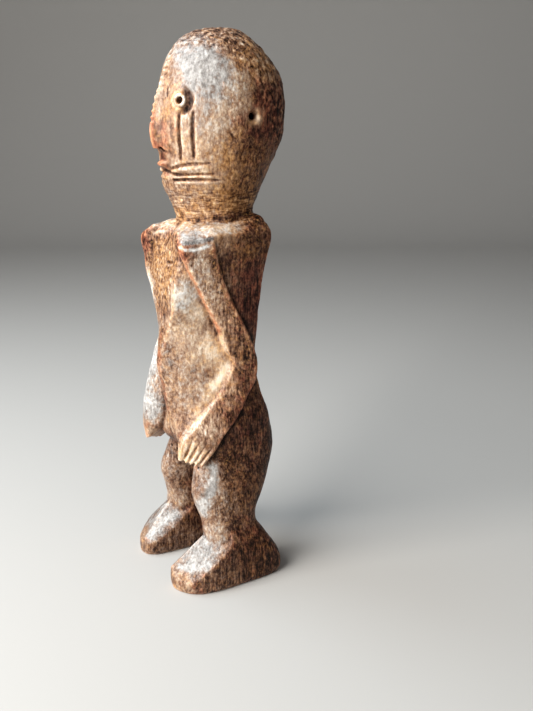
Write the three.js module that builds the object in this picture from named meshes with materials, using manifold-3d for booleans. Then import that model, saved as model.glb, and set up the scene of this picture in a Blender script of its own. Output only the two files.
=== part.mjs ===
// A carved standing figure, cut from one block of wood, with two pierced bead eyes.
// Millimetres, +Z up, the figure faces -Y and its left side is +X.
// Head, trunk, arms, legs and feet are lofts between a few stations of height, joined into
// one piece and then cut with the grooves, sockets and flat facets of the carver's knife.
import * as THREE from 'three';
import Module from 'manifold-3d';
import { mergeVertices, toCreasedNormals } from 'three/addons/utils/BufferGeometryUtils.js';

const wasm = await Module();
wasm.setup();

// Driving dimensions
const figureHeight = 480;
const crotchHeight = 111;
const shoulderHeight = 316;
const neckMiddle = 8;
const wornEdge = 2.2;
const fitGap = 0.3;

const left = 1;
const right = -1;

// Head and neck: half width, middle, front and back of an oval at each height
const headStations = [
  { z: 318, half: 31.5, mid: 8.5, front: -22, back: 40 },
  { z: 327, half: 32.5, mid: 8, front: -24, back: 41.5 },
  { z: 335, half: 33.5, mid: 8, front: -26.5, back: 43.5 },
  { z: 344, half: 35, mid: 8.7, front: -30.5, back: 47.7 },
  { z: 352, half: 37, mid: 9, front: -35, back: 51.5 },
  { z: 366, half: 40.5, mid: 11, front: -37, back: 58 },
  { z: 382, half: 43.5, mid: 13, front: -38, back: 66.5 },
  { z: 396, half: 45.5, mid: 14, front: -39.5, back: 72 },
  { z: 411, half: 46.5, mid: 14, front: -39.5, back: 73.4 },
  { z: 426, half: 46, mid: 14, front: -37.5, back: 73.2 },
  { z: 440, half: 44, mid: 14.5, front: -34, back: 70 },
  { z: 452, half: 40.5, mid: 15, front: -30.5, back: 62.8 },
  { z: 465, half: 33, mid: 16, front: -22.5, back: 50.7 },
  { z: 474, half: 23, mid: 17.5, front: -10, back: 40 },
  { z: 479, half: 10, mid: 19, front: 6, back: 29 },
  { z: figureHeight, half: 3, mid: 19, front: 15, back: 23 },
];
const faceSquareness = 1.9;
const napeSquareness = 2;

// Trunk: one side of a section as five corners, keel, flank, side, back corner and back
const trunkStations = [
  {
    z: crotchHeight, mid: -14, keel: [4, -14], flank: [9, -13],
    side: [14, -6], corner: [13, 24], back: 22,
  },
  {
    z: 118, mid: -26, keel: [5, -26], flank: [17, -26],
    side: [30, -12], corner: [22, 32], back: 29,
  },
  {
    z: 126, mid: -33, keel: [5, -33], flank: [22, -35],
    side: [37, -16], corner: [30, 34], back: 33,
  },
  {
    z: 138, mid: -37.5, keel: [4.5, -37], flank: [24, -38],
    side: [39, -12], corner: [35, 38], back: 37,
  },
  {
    z: 155, mid: -41, keel: [4, -40.3], flank: [26.5, -28],
    side: [39, -2], corner: [36, 38.5], back: 38,
  },
  {
    z: 176, mid: -45, keel: [4, -44.5], flank: [28.2, -18],
    side: [38, 8], corner: [35, 35.5], back: 35,
  },
  {
    z: 200, mid: -49, keel: [4.5, -48.3], flank: [30, -3],
    side: [37, 14], corner: [34, 31], back: 31.5,
  },
  {
    z: 214, mid: -47.5, keel: [6, -46.2], flank: [30.5, -2],
    side: [37, 14], corner: [35, 31], back: 32,
  },
  {
    z: 232, mid: -44.2, keel: [10, -43], flank: [29.2, -6.5],
    side: [38, 8], corner: [37.2, 32.3], back: 33.5,
  },
  {
    z: 248, mid: -42.8, keel: [18, -42], flank: [29, -13.5],
    side: [39.5, 2], corner: [37.5, 33], back: 34.5,
  },
  {
    z: 266, mid: -43, keel: [25, -42.8], flank: [30, -24.5],
    side: [41, -4], corner: [38, 35], back: 36.5,
  },
  {
    z: 286, mid: -41.5, keel: [25, -41], flank: [31.6, -34],
    side: [42.5, -10], corner: [40, 38.5], back: 40,
  },
  {
    z: 300, mid: -37.5, keel: [21, -39], flank: [31, -35],
    side: [43.5, -13], corner: [41, 41], back: 42,
  },
  {
    z: 310, mid: -33, keel: [18.5, -38.5], flank: [31, -35],
    side: [44.5, -15], corner: [42, 43], back: 43.5,
  },
  {
    z: shoulderHeight, mid: -29, keel: [17, -37], flank: [30, -33],
    side: [45, -16], corner: [42, 43], back: 43.5,
  },
];

// How far the belly swells between keel and flank, as a share of that width
const flankBulge = 0.07;
// The flat of the side runs from this far before the back corner
const sideFlat = { x: 2, y: -16 };
const backRounding = 1;

// The shoulder top is a low dome: each ring is the shoulder outline drawn in to the neck
const domeTop = 0.6;
const shoulderDome = [
  { rise: 2.2, drawnIn: 0.1 },
  { rise: 5, drawnIn: 0.3 },
  { rise: 7.2, drawnIn: 0.5 },
  { rise: 8.5, drawnIn: 0.75 },
];
// Behind the neck the dome stands higher, by this share for each millimetre
const domeBackLift = 0.023;

// Arms: the front and back edges of the broad outer face, from the shoulder to the tips
const leftArm = [
  { front: [29, -32.5, 318], back: [42, -12, 318.5], spread: 8, step: 5, deep: 10 },
  { front: [37.6, -41, 307], back: [47.5, -14, 309.5], spread: 2.5, step: 5, deep: 10 },
  { front: [38.3, -33.6, 290], back: [46.5, -9.6, 290], spread: 3.5, step: 5, deep: 9 },
  { front: [37, -24, 271], back: [46, -2.4, 270], spread: 3.7, step: 5, deep: 9 },
  { front: [36, -15.2, 254], back: [45.2, 6.2, 252], spread: 3.7, step: 5, deep: 9 },
  { front: [35.6, -8, 239], back: [44.6, 15, 236], spread: 3.5, step: 5, deep: 9 },
  { front: [37.3, 0.8, 216], back: [44, 25.5, 213], spread: 3, step: 5.5, deep: 9 },
  { front: [38, 7.3, 202], back: [44, 28, 200], spread: 3, step: 6, deep: 9 },
  { front: [36.8, 3.5, 192], back: [44.5, 27, 188], spread: 5.5, step: 6.5, deep: 9 },
  { front: [35.5, -5.5, 176], back: [45.5, 17.5, 174], spread: 8, step: 7.5, deep: 9 },
  { front: [35, -18, 161.5], back: [46, 6, 155], spread: 9, step: 8, deep: 9 },
  { front: [34, -30, 148.5], back: [46.5, -7, 141], spread: 7, step: 8, deep: 10 },
  { front: [33, -43, 135.5], back: [46.5, -18, 127], spread: 4, step: 7, deep: 11 },
  { front: [31.5, -47, 119.5], back: [45, -30.5, 112.5], spread: 1, step: 3, deep: 10, rise: 9 },
];
// The right arm is bent less, so its forearm stands further forward
const rightArm = [
  { front: [30, -35, 320], back: [42, -12, 319.5], spread: 8, step: 5, deep: 10 },
  { front: [37.5, -44, 311], back: [47.5, -14, 311], spread: 2, step: 5, deep: 10 },
  { front: [37, -43, 292], back: [46.5, -9.6, 290], spread: 1, step: 5, deep: 9 },
  { front: [36, -42.5, 277], back: [46, -3.5, 270], spread: 1, step: 5, deep: 9 },
  { front: [35, -37.5, 260], back: [45.2, 3.5, 252], spread: 1, step: 5, deep: 9 },
  { front: [33, -33.5, 241], back: [44.6, 9.5, 236], spread: 1, step: 5, deep: 12 },
  { front: [31, -32.5, 228], back: [44, 15, 214], spread: 2, step: 6, deep: 16 },
  { front: [32.5, -39.5, 203], back: [44, 13, 196], spread: 3, step: 8, deep: 18 },
  { front: [33.5, -47, 178], back: [45, 2, 172], spread: 3, step: 9, deep: 19 },
  { front: [34, -52, 156], back: [45.5, -11, 150], spread: 3, step: 9, deep: 17 },
  { front: [33.5, -53, 137], back: [45.5, -21, 130], spread: 3, step: 8, deep: 12 },
  { front: [31.5, -51.5, 121], back: [44, -32, 113], spread: 1, step: 3, deep: 12, rise: 10 },
];
const armCrown = 1;
const armHeart = 6;
const finger = { grooves: 4, length: 20, halfWidth: 1.3, depth: 3, lift: 0.8, fan: 0.04 };

// Legs: middle and half sizes of a squarish oval, from inside the trunk to inside the foot
const legStations = [
  { z: 28, x: 42.5, y: 0, half: 18, deep: 24 },
  { z: 44, x: 40.5, y: -0.5, half: 18, deep: 26 },
  { z: 55, x: 38.5, y: -1.5, half: 17.5, deep: 25.5 },
  { z: 68, x: 36.8, y: -1, half: 17.5, deep: 29 },
  { z: 86, x: 34.3, y: 2, half: 17.7, deep: 36 },
  { z: 103, x: 30.5, y: 7.5, half: 18.3, deep: 37.5 },
  { z: 119, x: 27, y: 12.5, half: 19, deep: 38 },
  { z: 136, x: 24.5, y: 15.5, half: 19.5, deep: 34.5 },
  { z: 155, x: 23.5, y: 18.5, half: 18, deep: 25.5 },
  { z: 176, x: 20, y: 15, half: 12, deep: 15 },
];
const legSquareness = 2.4;
const legSides = 26;

// Feet: the sole's outline, heel first, and how each height draws it in
const soleOutline = [
  [23, 37], [62, 37], [66, 24], [66.5, -26], [62, -45], [53, -55],
  [40, -59], [26.5, -58], [21, -48], [18.5, -18], [19, 24],
];
const footStations = [
  { z: 0, inset: 2.2, heel: 2.5, toLeg: 0 },
  { z: 3, inset: 0.6, heel: 4.5, toLeg: 0 },
  { z: 14, inset: 0, heel: 6, toLeg: 0 },
  { z: 26, inset: 0.5, heel: 4, toLeg: 0.16 },
  { z: 39, inset: 1.5, heel: 0, toLeg: 0.5 },
  { z: 50, inset: 2, heel: 0, toLeg: 0.87 },
  { z: 60, inset: 2, heel: 0, toLeg: 1.03 },
];
const footMiddle = { x: 42, y: -10, halfWidth: 23, halfLength: 48 };
const soleRounding = 7;
const heelStart = 5;
const heelRun = 25;
// The instep is a roof of two flat facets, and the toe is a third
const footFacets = [
  { point: [62.5, -10.9, 40.6], normal: [0.7, -0.69, 1] },
  { point: [23, -40.8, 21.8], normal: [-0.95, -0.69, 1] },
  { point: [38, -58, 13], normal: [0.55, -1.1, 1] },
];
const instepEnd = -9;
const wasteBlock = 200;

// Face: heights and distances from the middle line
const eye = { x: 21.8, z: 422, floor: 8.6, socket: 10.6, depth: 2.6, boss: 6.9, root: 7.7 };
const beadRing = { outer: 5.6, tube: 1.2 };
const ear = { x: 46.2, y: 24, z: 410, bore: 2.8, rim: 5.2, countersink: 3, depth: 15 };
const nose = {
  top: 457, tip: 397, base: 384.5, halfTop: 1.8, halfBase: 9, stand: 9.6, tuck: 0.12, crest: 0.3,
};
const upperLip = { z: 372.5, halfWidth: 9, halfHeight: 3.8, stand: 5.2 };
const lowerLip = { z: 361, halfWidth: 8, halfHeight: 3.6, stand: 1.6 };
// Added wood starts this far under the skin of the head
const sunk = 4;
const rooted = 14;
const tearGrooves = [
  { x: 18.5, top: 414, bottom: 377 },
  { x: 27, top: 414, bottom: 381 },
];
const cheekGrooves = [
  { inner: [9, 370], middle: [19, 373], outer: [35, 375] },
  { inner: [2, 367], middle: [19, 366], outer: [37, 365] },
  { inner: [10, 361], middle: [19, 360.5], outer: [38, 359.5] },
];
const groove = { halfWidth: 1.7, depth: 2.1, lift: 1.2, flare: 1.5, leastShare: 0.25 };

const wood = new THREE.MeshStandardMaterial({ color: 0x4a3426, roughness: 0.5, metalness: 0 });
const bead = new THREE.MeshStandardMaterial({ color: 0xd8cdbd, roughness: 0.35, metalness: 0 });

// Value of a named number at a height, on a smooth curve through the stations
function valueAt(stations, key, z) {
  const last = stations.length - 1;
  let i = stations.findIndex((station) => station.z > z) - 1;
  if (i < 0) {
    i = z <= stations[0].z ? 0 : last - 1;
  }
  const a = stations[Math.max(i - 1, 0)];
  const b = stations[i];
  const c = stations[i + 1];
  const d = stations[Math.min(i + 2, last)];
  const span = c.z - b.z;
  const t = THREE.MathUtils.clamp((z - b.z) / span, 0, 1);
  const slopeB = ((c[key] - a[key]) / (c.z - a.z)) * span;
  const slopeC = ((d[key] - b[key]) / (d.z - b.z)) * span;
  const t2 = t * t;
  const t3 = t2 * t;
  return (2 * t3 - 3 * t2 + 1) * b[key] + (t3 - 2 * t2 + t) * slopeB
    + (3 * t2 - 2 * t3) * c[key] + (t3 - t2) * slopeC;
}

// A power of the sine or cosine that squares an oval off
function squared(value, squareness) {
  return Math.sign(value) * Math.abs(value) ** (2 / squareness);
}

// A closed solid through rings of equal count, with both ends filled
function loft(rings) {
  const count = rings[0].length;
  const points = rings.flat();
  const index = [];
  for (let r = 0; r + 1 < rings.length; r += 1) {
    for (let i = 0; i < count; i += 1) {
      const a = r * count + i;
      const b = r * count + ((i + 1) % count);
      index.push(a, b, b + count, a, b + count, a + count);
    }
  }
  [0, rings.length - 1].forEach((r) => {
    const middle = new THREE.Vector3();
    rings[r].forEach((point) => middle.addScaledVector(point, 1 / count));
    points.push(middle);
    const hub = points.length - 1;
    for (let i = 0; i < count; i += 1) {
      const a = r * count + i;
      const b = r * count + ((i + 1) % count);
      index.push(...(r === 0 ? [hub, b, a] : [hub, a, b]));
    }
  });
  const geometry = new THREE.BufferGeometry().setFromPoints(points);
  geometry.setIndex(index);
  return geometry;
}

// Six times the signed volume, which is negative where the faces point in
function signedVolume(positions, triangles) {
  const a = new THREE.Vector3();
  const b = new THREE.Vector3();
  const c = new THREE.Vector3();
  let total = 0;
  for (let i = 0; i < triangles.length; i += 3) {
    a.fromArray(positions, triangles[i] * 3);
    b.fromArray(positions, triangles[i + 1] * 3);
    c.fromArray(positions, triangles[i + 2] * 3);
    total += a.dot(b.cross(c));
  }
  return total;
}

function toSolid(geometry) {
  const bare = new THREE.BufferGeometry();
  bare.setAttribute('position', geometry.getAttribute('position').clone());
  if (geometry.index) {
    bare.setIndex(geometry.index.clone());
  }
  const merged = mergeVertices(bare, 1e-4);
  const positions = Float32Array.from(merged.getAttribute('position').array);
  const triangles = Uint32Array.from(merged.index.array);
  if (signedVolume(positions, triangles) < 0) {
    for (let i = 0; i < triangles.length; i += 3) {
      [triangles[i + 1], triangles[i + 2]] = [triangles[i + 2], triangles[i + 1]];
    }
  }
  return new wasm.Manifold(new wasm.Mesh({ numProp: 3, vertProperties: positions, triVerts: triangles }));
}

function toGeometry(solid) {
  const mesh = solid.getMesh();
  const geometry = new THREE.BufferGeometry();
  geometry.setAttribute('position', new THREE.BufferAttribute(Float32Array.from(mesh.vertProperties), 3));
  geometry.setIndex(new THREE.BufferAttribute(Uint32Array.from(mesh.triVerts), 1));
  return geometry;
}

// The same points on the other side of the middle plane
function mirrored(points, side) {
  return points.map((point) => new THREE.Vector3(point.x * side, point.y, point.z));
}

// Each corner of an outline becomes a short arc, as edges that hands have worn
function softenCorners(outline, reach) {
  const soft = [];
  outline.forEach((corner, i) => {
    const before = outline[(i + outline.length - 1) % outline.length];
    const after = outline[(i + 1) % outline.length];
    const inLength = Math.min(reach, corner.distanceTo(before) * 0.4);
    const outLength = Math.min(reach, corner.distanceTo(after) * 0.4);
    const start = corner.clone().add(before.clone().sub(corner).setLength(inLength));
    const end = corner.clone().add(after.clone().sub(corner).setLength(outLength));
    const middle = start.clone().add(end).multiplyScalar(0.5).lerp(corner, 0.5);
    soft.push(start, middle, end);
  });
  return soft;
}

// A point of the head's skin at an angle round its middle
function headPoint(angle, z) {
  const half = valueAt(headStations, 'half', z);
  const mid = valueAt(headStations, 'mid', z);
  const front = valueAt(headStations, 'front', z);
  const back = valueAt(headStations, 'back', z);
  const inFront = Math.sin(angle) < 0;
  const squareness = inFront ? faceSquareness : napeSquareness;
  const reach = inFront ? mid - front : back - mid;
  return new THREE.Vector3(
    half * squared(Math.cos(angle), squareness),
    mid + reach * squared(Math.sin(angle), squareness),
    z,
  );
}

// A point of the face at a distance from the middle line
function facePoint(x, z) {
  const ratio = THREE.MathUtils.clamp(Math.abs(x) / valueAt(headStations, 'half', z), 0, 1);
  const angle = -Math.acos(ratio ** (faceSquareness / 2));
  const point = headPoint(angle, z);
  point.x = x;
  return point;
}

function faceNormal(x, z) {
  const step = 1;
  const across = facePoint(x + step, z).sub(facePoint(x - step, z));
  const up = facePoint(x, z + step).sub(facePoint(x, z - step));
  return across.cross(up).normalize();
}

function headSolid() {
  const sides = 44;
  const rings = headStations.map(({ z }) => {
    const ring = [];
    for (let i = 0; i < sides; i += 1) {
      ring.push(headPoint((2 * Math.PI * i) / sides, z));
    }
    return ring;
  });
  return toSolid(loft(rings));
}

// A wedge down the middle of the face, growing to the tip and cut off flat below
function noseSolid() {
  const steps = 6;
  const rings = [];
  for (let i = 0; i <= steps; i += 1) {
    const z = THREE.MathUtils.lerp(nose.base, nose.top, i / steps);
    const down = THREE.MathUtils.clamp((nose.top - z) / (nose.top - nose.tip), 0, 1);
    const tuck = Math.max(nose.tip - z, 0) * nose.tuck;
    const half = THREE.MathUtils.lerp(nose.halfTop, nose.halfBase, down ** 2);
    const face = facePoint(0, z).y;
    const tip = face - nose.stand * down ** 0.8 + tuck;
    const crest = half * nose.crest;
    rings.push([
      new THREE.Vector3(-half, face + sunk, z),
      new THREE.Vector3(-crest, tip, z),
      new THREE.Vector3(crest, tip, z),
      new THREE.Vector3(half, face + sunk, z),
      new THREE.Vector3(half, face + rooted, z),
      new THREE.Vector3(-half, face + rooted, z),
    ]);
  }
  return toSolid(loft(rings));
}

// A lip is a low roll across the middle of the face
function lipSolid({ z, halfWidth, halfHeight, stand }) {
  const roll = new THREE.SphereGeometry(1, 16, 10);
  roll.scale(halfWidth, stand + sunk, halfHeight);
  roll.translate(0, facePoint(0, z).y + sunk, z);
  return toSolid(roll);
}

// A V groove cut along a line of surface points, fading out at both ends
function grooveCutter(points, normals, halfWidth, depth) {
  const rings = points.map((point, i) => {
    const before = points[Math.max(i - 1, 0)];
    const after = points[Math.min(i + 1, points.length - 1)];
    const along = after.clone().sub(before).normalize();
    const across = along.clone().cross(normals[i]).normalize();
    const run = (i + 0.5) / points.length;
    const share = Math.max(groove.leastShare, Math.sin(Math.PI * run));
    const reach = halfWidth * share * groove.flare;
    return [
      point.clone().addScaledVector(across, reach).addScaledVector(normals[i], groove.lift),
      point.clone().addScaledVector(normals[i], -depth * share),
      point.clone().addScaledVector(across, -reach).addScaledVector(normals[i], groove.lift),
    ];
  });
  return toSolid(loft(rings));
}

function faceGroove(path, side) {
  const steps = 8;
  const points = [];
  const normals = [];
  for (let i = 0; i <= steps; i += 1) {
    const spot = path.getPoint(i / steps);
    points.push(facePoint(spot.x * side, spot.y));
    normals.push(faceNormal(spot.x * side, spot.y));
  }
  return grooveCutter(points, normals, groove.halfWidth, groove.depth);
}

// A turned shape whose axis leaves the head along the surface normal
function turnedOnFace(profile, x, z) {
  const outline = profile.map(([radius, height]) => new THREE.Vector2(radius, height));
  const geometry = new THREE.LatheGeometry(outline, 20);
  const normal = faceNormal(x, z);
  const turn = new THREE.Quaternion().setFromUnitVectors(new THREE.Vector3(0, 1, 0), normal);
  geometry.applyQuaternion(turn);
  const spot = facePoint(x, z);
  geometry.translate(spot.x, spot.y, spot.z);
  return geometry;
}

// A round socket with a boss left standing in it, and a seat cut in the boss for the bead
function carveEye(head, side) {
  const x = eye.x * side;
  const clear = 2;
  const seatRadius = beadRing.outer + fitGap;
  const seatFloor = -beadRing.tube - fitGap;
  const dish = turnedOnFace([
    [0, -eye.depth], [eye.floor, -eye.depth], [eye.socket, 0], [eye.socket + clear, clear], [0, clear],
  ], x, eye.z);
  const boss = turnedOnFace([
    [0, -eye.depth - clear], [eye.root, -eye.depth - clear], [eye.boss, 0], [0, 0],
  ], x, eye.z);
  const seat = turnedOnFace([
    [0, seatFloor], [seatRadius, seatFloor], [seatRadius, clear], [0, clear],
  ], x, eye.z);
  return head.subtract(toSolid(dish)).add(toSolid(boss)).subtract(toSolid(seat));
}

// The ear is a drilled hole with a countersunk rim
function carveEar(head, side) {
  const clear = 2;
  const profile = [
    [0, -ear.depth], [ear.bore, -ear.depth], [ear.bore, -ear.countersink],
    [ear.rim, 0], [ear.rim + clear, clear], [0, clear],
  ].map(([radius, height]) => new THREE.Vector2(radius, height));
  const cutter = new THREE.LatheGeometry(profile, 18);
  cutter.rotateZ((-Math.PI / 2) * side);
  cutter.translate(ear.x * side, ear.y, ear.z);
  return head.subtract(toSolid(cutter));
}

function carveFace(head) {
  let carved = head;
  [left, right].forEach((side) => {
    carved = carveEye(carved, side);
    carved = carveEar(carved, side);
    tearGrooves.forEach(({ x, top, bottom }) => {
      const path = new THREE.LineCurve(new THREE.Vector2(x, top), new THREE.Vector2(x, bottom));
      carved = carved.subtract(faceGroove(path, side));
    });
    cheekGrooves.forEach(({ inner, middle, outer }) => {
      const path = new THREE.SplineCurve([inner, middle, outer].map(([x, z]) => new THREE.Vector2(x, z)));
      carved = carved.subtract(faceGroove(path, side));
    });
  });
  return carved;
}

const trunkProfile = trunkStations.map(({ z, mid, keel, flank, side, corner, back }) => ({
  z,
  mid,
  keelX: keel[0],
  keelY: keel[1],
  flankX: flank[0],
  flankY: flank[1],
  sideX: side[0],
  sideY: side[1],
  cornerX: corner[0],
  cornerY: corner[1],
  back,
}));

// One half section of the trunk, mirrored into a whole outline
function trunkRing(z) {
  const at = (key) => valueAt(trunkProfile, key, z);
  const keel = new THREE.Vector3(at('keelX'), at('keelY'), z);
  const flank = new THREE.Vector3(at('flankX'), at('flankY'), z);
  const run = flank.clone().sub(keel);
  const bulge = keel.clone().lerp(flank, 0.5);
  bulge.add(new THREE.Vector3(run.y, -run.x, 0).multiplyScalar(flankBulge));
  const half = [
    keel,
    bulge,
    flank,
    new THREE.Vector3(at('sideX'), at('sideY'), z),
    new THREE.Vector3(at('cornerX') + sideFlat.x, at('cornerY') + sideFlat.y, z),
    new THREE.Vector3(at('cornerX') - backRounding, at('cornerY'), z),
  ];
  const outline = [
    new THREE.Vector3(0, at('mid'), z),
    ...half,
    new THREE.Vector3(0, at('back'), z),
    ...mirrored(half, right).reverse(),
  ];
  return softenCorners(outline, wornEdge);
}

function trunkSolid() {
  const rings = trunkStations.map(({ z }) => trunkRing(z));
  const top = rings.at(-1);
  shoulderDome.forEach(({ rise, drawnIn }) => {
    rings.push(top.map((point) => new THREE.Vector3(
      point.x * THREE.MathUtils.lerp(1, domeTop, drawnIn),
      neckMiddle + (point.y - neckMiddle) * THREE.MathUtils.lerp(1, domeTop, drawnIn),
      shoulderHeight + rise * (1 + domeBackLift * Math.max(point.y - neckMiddle, 0)),
    )));
  });
  return toSolid(loft(rings));
}

// A section across an arm: outer face, the two edges, and the wood behind it
function armRing({ front, back, spread, step, deep, rise = 0 }) {
  const frontEdge = new THREE.Vector3(...front);
  const backEdge = new THREE.Vector3(...back);
  const along = backEdge.clone().sub(frontEdge).setZ(0).normalize();
  const inward = new THREE.Vector3(-along.y, along.x, 0);
  const bevelEdge = frontEdge.clone().addScaledVector(along, -spread).addScaledVector(inward, step);
  const crown = frontEdge.clone().lerp(backEdge, 0.5).addScaledVector(inward, -armCrown);
  const innerBack = backEdge.clone().addScaledVector(inward, deep);
  const innerFront = bevelEdge.clone().addScaledVector(inward, deep).addScaledVector(along, armHeart);
  innerBack.z += rise;
  innerFront.z += rise;
  return [frontEdge, crown, backEdge, innerBack, innerFront, bevelEdge];
}

function armSolid(stations, side) {
  return toSolid(loft(stations.map((station) => mirrored(armRing(station), side))));
}

// Grooves between the digits, running up the outer face from the tips
function fingerCutters(stations, side) {
  const [knuckle, tip] = stations.slice(-2);
  const tipFront = new THREE.Vector3(...tip.front);
  const tipBack = new THREE.Vector3(...tip.back);
  const knuckleFront = new THREE.Vector3(...knuckle.front);
  const knuckleBack = new THREE.Vector3(...knuckle.back);
  const across = tipBack.clone().sub(tipFront);
  const cutters = [];
  for (let i = 1; i <= finger.grooves; i += 1) {
    const share = i / (finger.grooves + 1);
    const low = tipFront.clone().lerp(tipBack, share);
    const high = knuckleFront.clone().lerp(knuckleBack, share + finger.fan);
    const run = high.clone().sub(low).setLength(finger.length);
    const normal = across.clone().cross(run).normalize();
    const points = [-0.2, 0.25, 0.7, 1].map((t) => (
      low.clone().addScaledVector(run, t).addScaledVector(normal, finger.lift)
    ));
    const normals = mirrored(points.map(() => normal), side);
    cutters.push(grooveCutter(mirrored(points, side), normals, finger.halfWidth, finger.depth));
  }
  return cutters;
}

// A point of the left leg's surface, at an angle round its middle
function legPoint(angle, z) {
  const half = valueAt(legStations, 'half', z);
  const deep = valueAt(legStations, 'deep', z);
  return new THREE.Vector3(
    valueAt(legStations, 'x', z) + half * squared(Math.cos(angle), legSquareness),
    valueAt(legStations, 'y', z) + deep * squared(Math.sin(angle), legSquareness),
    z,
  );
}

function legSolid(side) {
  const rings = legStations.map(({ z }) => {
    const ring = [];
    for (let i = 0; i < legSides; i += 1) {
      ring.push(legPoint((2 * Math.PI * i) / legSides, z));
    }
    return mirrored(ring, side);
  });
  return toSolid(loft(rings));
}

// Everything above a sloping plane and in front of the ankle
function instepWaste({ point, normal }) {
  const block = new THREE.BoxGeometry(wasteBlock, wasteBlock, wasteBlock);
  block.translate(0, 0, wasteBlock / 2);
  const up = new THREE.Vector3(...normal).normalize();
  block.applyQuaternion(new THREE.Quaternion().setFromUnitVectors(new THREE.Vector3(0, 0, 1), up));
  block.translate(...point);
  const ahead = new THREE.BoxGeometry(wasteBlock, wasteBlock, wasteBlock);
  ahead.translate(0, instepEnd - wasteBlock / 2, 0);
  return toSolid(block).intersect(toSolid(ahead));
}

// The sole's outline turns into the leg's oval on the way up to the ankle
function footSolid(side) {
  const outline = softenCorners(soleOutline.map(([x, y]) => new THREE.Vector3(x, y, 0)), soleRounding);
  const rings = footStations.map(({ z, inset, heel, toLeg }) => outline.map((point) => {
    const outX = point.x - footMiddle.x;
    const outY = point.y - footMiddle.y;
    const share = inset / Math.max(Math.abs(outX), footMiddle.halfWidth / 2);
    const behind = THREE.MathUtils.clamp((point.y - heelStart) / heelRun, 0, 1);
    const drawn = new THREE.Vector3(point.x - outX * share, point.y + heel * behind, z);
    const angle = Math.atan2(outY / footMiddle.halfLength, outX / footMiddle.halfWidth);
    return drawn.lerp(legPoint(angle, z), toLeg);
  }));
  let foot = toSolid(loft(rings));
  footFacets.forEach((facet) => {
    foot = foot.subtract(instepWaste(facet));
  });
  return side === left ? foot : foot.mirror([1, 0, 0]);
}

function figureSolid() {
  const head = carveFace(headSolid().add(noseSolid()).add(lipSolid(upperLip)).add(lipSolid(lowerLip)));
  let figure = trunkSolid().add(head);
  [[left, leftArm], [right, rightArm]].forEach(([side, stations]) => {
    figure = figure.add(armSolid(stations, side)).add(legSolid(side)).add(footSolid(side));
    fingerCutters(stations, side).forEach((cutter) => {
      figure = figure.subtract(cutter);
    });
  });
  return figure;
}

function beadGeometry(side) {
  const ring = new THREE.TorusGeometry(beadRing.outer - beadRing.tube, beadRing.tube, 8, 20);
  const normal = faceNormal(eye.x * side, eye.z);
  ring.applyQuaternion(new THREE.Quaternion().setFromUnitVectors(new THREE.Vector3(0, 0, 1), normal));
  return ring;
}

// The frame's origin is under the middle of the figure's box
function middleOf(geometry) {
  geometry.computeBoundingBox();
  const middle = geometry.boundingBox.getCenter(new THREE.Vector3());
  return middle.setZ(geometry.boundingBox.min.z);
}

const figureGeometry = toGeometry(figureSolid());
const origin = middleOf(figureGeometry);

const group = new THREE.Group();
const figureMesh = new THREE.Mesh(toCreasedNormals(figureGeometry, Math.PI / 5), wood);
figureMesh.name = 'figure';
figureMesh.position.copy(origin).negate();
group.add(figureMesh);

[['left_eye_bead', left], ['right_eye_bead', right]].forEach(([name, side]) => {
  const mesh = new THREE.Mesh(beadGeometry(side), bead);
  mesh.name = name;
  mesh.position.copy(facePoint(eye.x * side, eye.z)).sub(origin);
  group.add(mesh);
});

export default group;
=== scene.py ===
"""A carved standing figure in dark worn wood, with two pale pierced beads for eyes.

The figure is one block of wood. Its head, trunk, arms, legs and feet are lofts through
stations of height. They are joined as distances on a fine grid, cut with the carver's
grooves, worn at the edges and turned into one mesh. Sizes in the tables are millimetres
from the middle of the block; the mesh is in metres in the frame's own place.
"""
from __future__ import annotations

import logging
import math
from collections.abc import Iterator
from dataclasses import dataclass, field
from enum import Enum

import bpy
import numpy as np
import openvdb
from mathutils import Matrix, Vector


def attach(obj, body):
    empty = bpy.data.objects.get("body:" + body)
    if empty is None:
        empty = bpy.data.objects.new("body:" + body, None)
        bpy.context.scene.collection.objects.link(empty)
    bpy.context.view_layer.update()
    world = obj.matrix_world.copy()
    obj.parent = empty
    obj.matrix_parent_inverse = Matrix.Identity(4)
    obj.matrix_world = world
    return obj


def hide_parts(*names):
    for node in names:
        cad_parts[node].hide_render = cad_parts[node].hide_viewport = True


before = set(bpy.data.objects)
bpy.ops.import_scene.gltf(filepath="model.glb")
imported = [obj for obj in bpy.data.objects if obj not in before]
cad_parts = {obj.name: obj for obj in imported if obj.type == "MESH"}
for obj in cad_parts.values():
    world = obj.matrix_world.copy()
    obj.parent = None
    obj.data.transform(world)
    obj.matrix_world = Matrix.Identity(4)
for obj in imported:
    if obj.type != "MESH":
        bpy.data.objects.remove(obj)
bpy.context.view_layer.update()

log = logging.getLogger("carved_figure")

MM = 0.001
BLOCK_TO_FRAME_Y = -7.4
SHOULDER_HEIGHT = 316.0
NECK_MIDDLE_Y = 8.0
EAR_Y = 24.0
# In front of everything, where lines towards the figure start
FRONT_Y = -60.0
# How far from the skin its distances are still told apart
FAR = 9.0
# A squared distance beyond every point
BEYOND = 1e6
# The widest rounding of a corner, as a share of the side beside it
CORNER_LIMIT = 0.45
# Where a round groove's floor stops being flat, as a share of half its width
FLAT_FLOOR = 0.35
# Where a bell of averages ends, in standard deviations
BELL_END = 2.5
# How far and how finely a line is followed to the wood
PROBE_REACH = 40.0
PROBE_STEP = 0.25

Array = np.ndarray
Point = tuple[float, float, float]
Row = tuple[float, ...]
Rows = tuple[Row, ...]
Node = bpy.types.Node
Tree = bpy.types.NodeTree
Socket = bpy.types.NodeSocket
SceneObject = bpy.types.Object


class Side(Enum):
    """The figure's own left and right."""

    LEFT = 1
    RIGHT = -1


class Cut(Enum):
    """How a groove's floor is shaped."""

    VEE = "vee"
    ROUND = "round"


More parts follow.
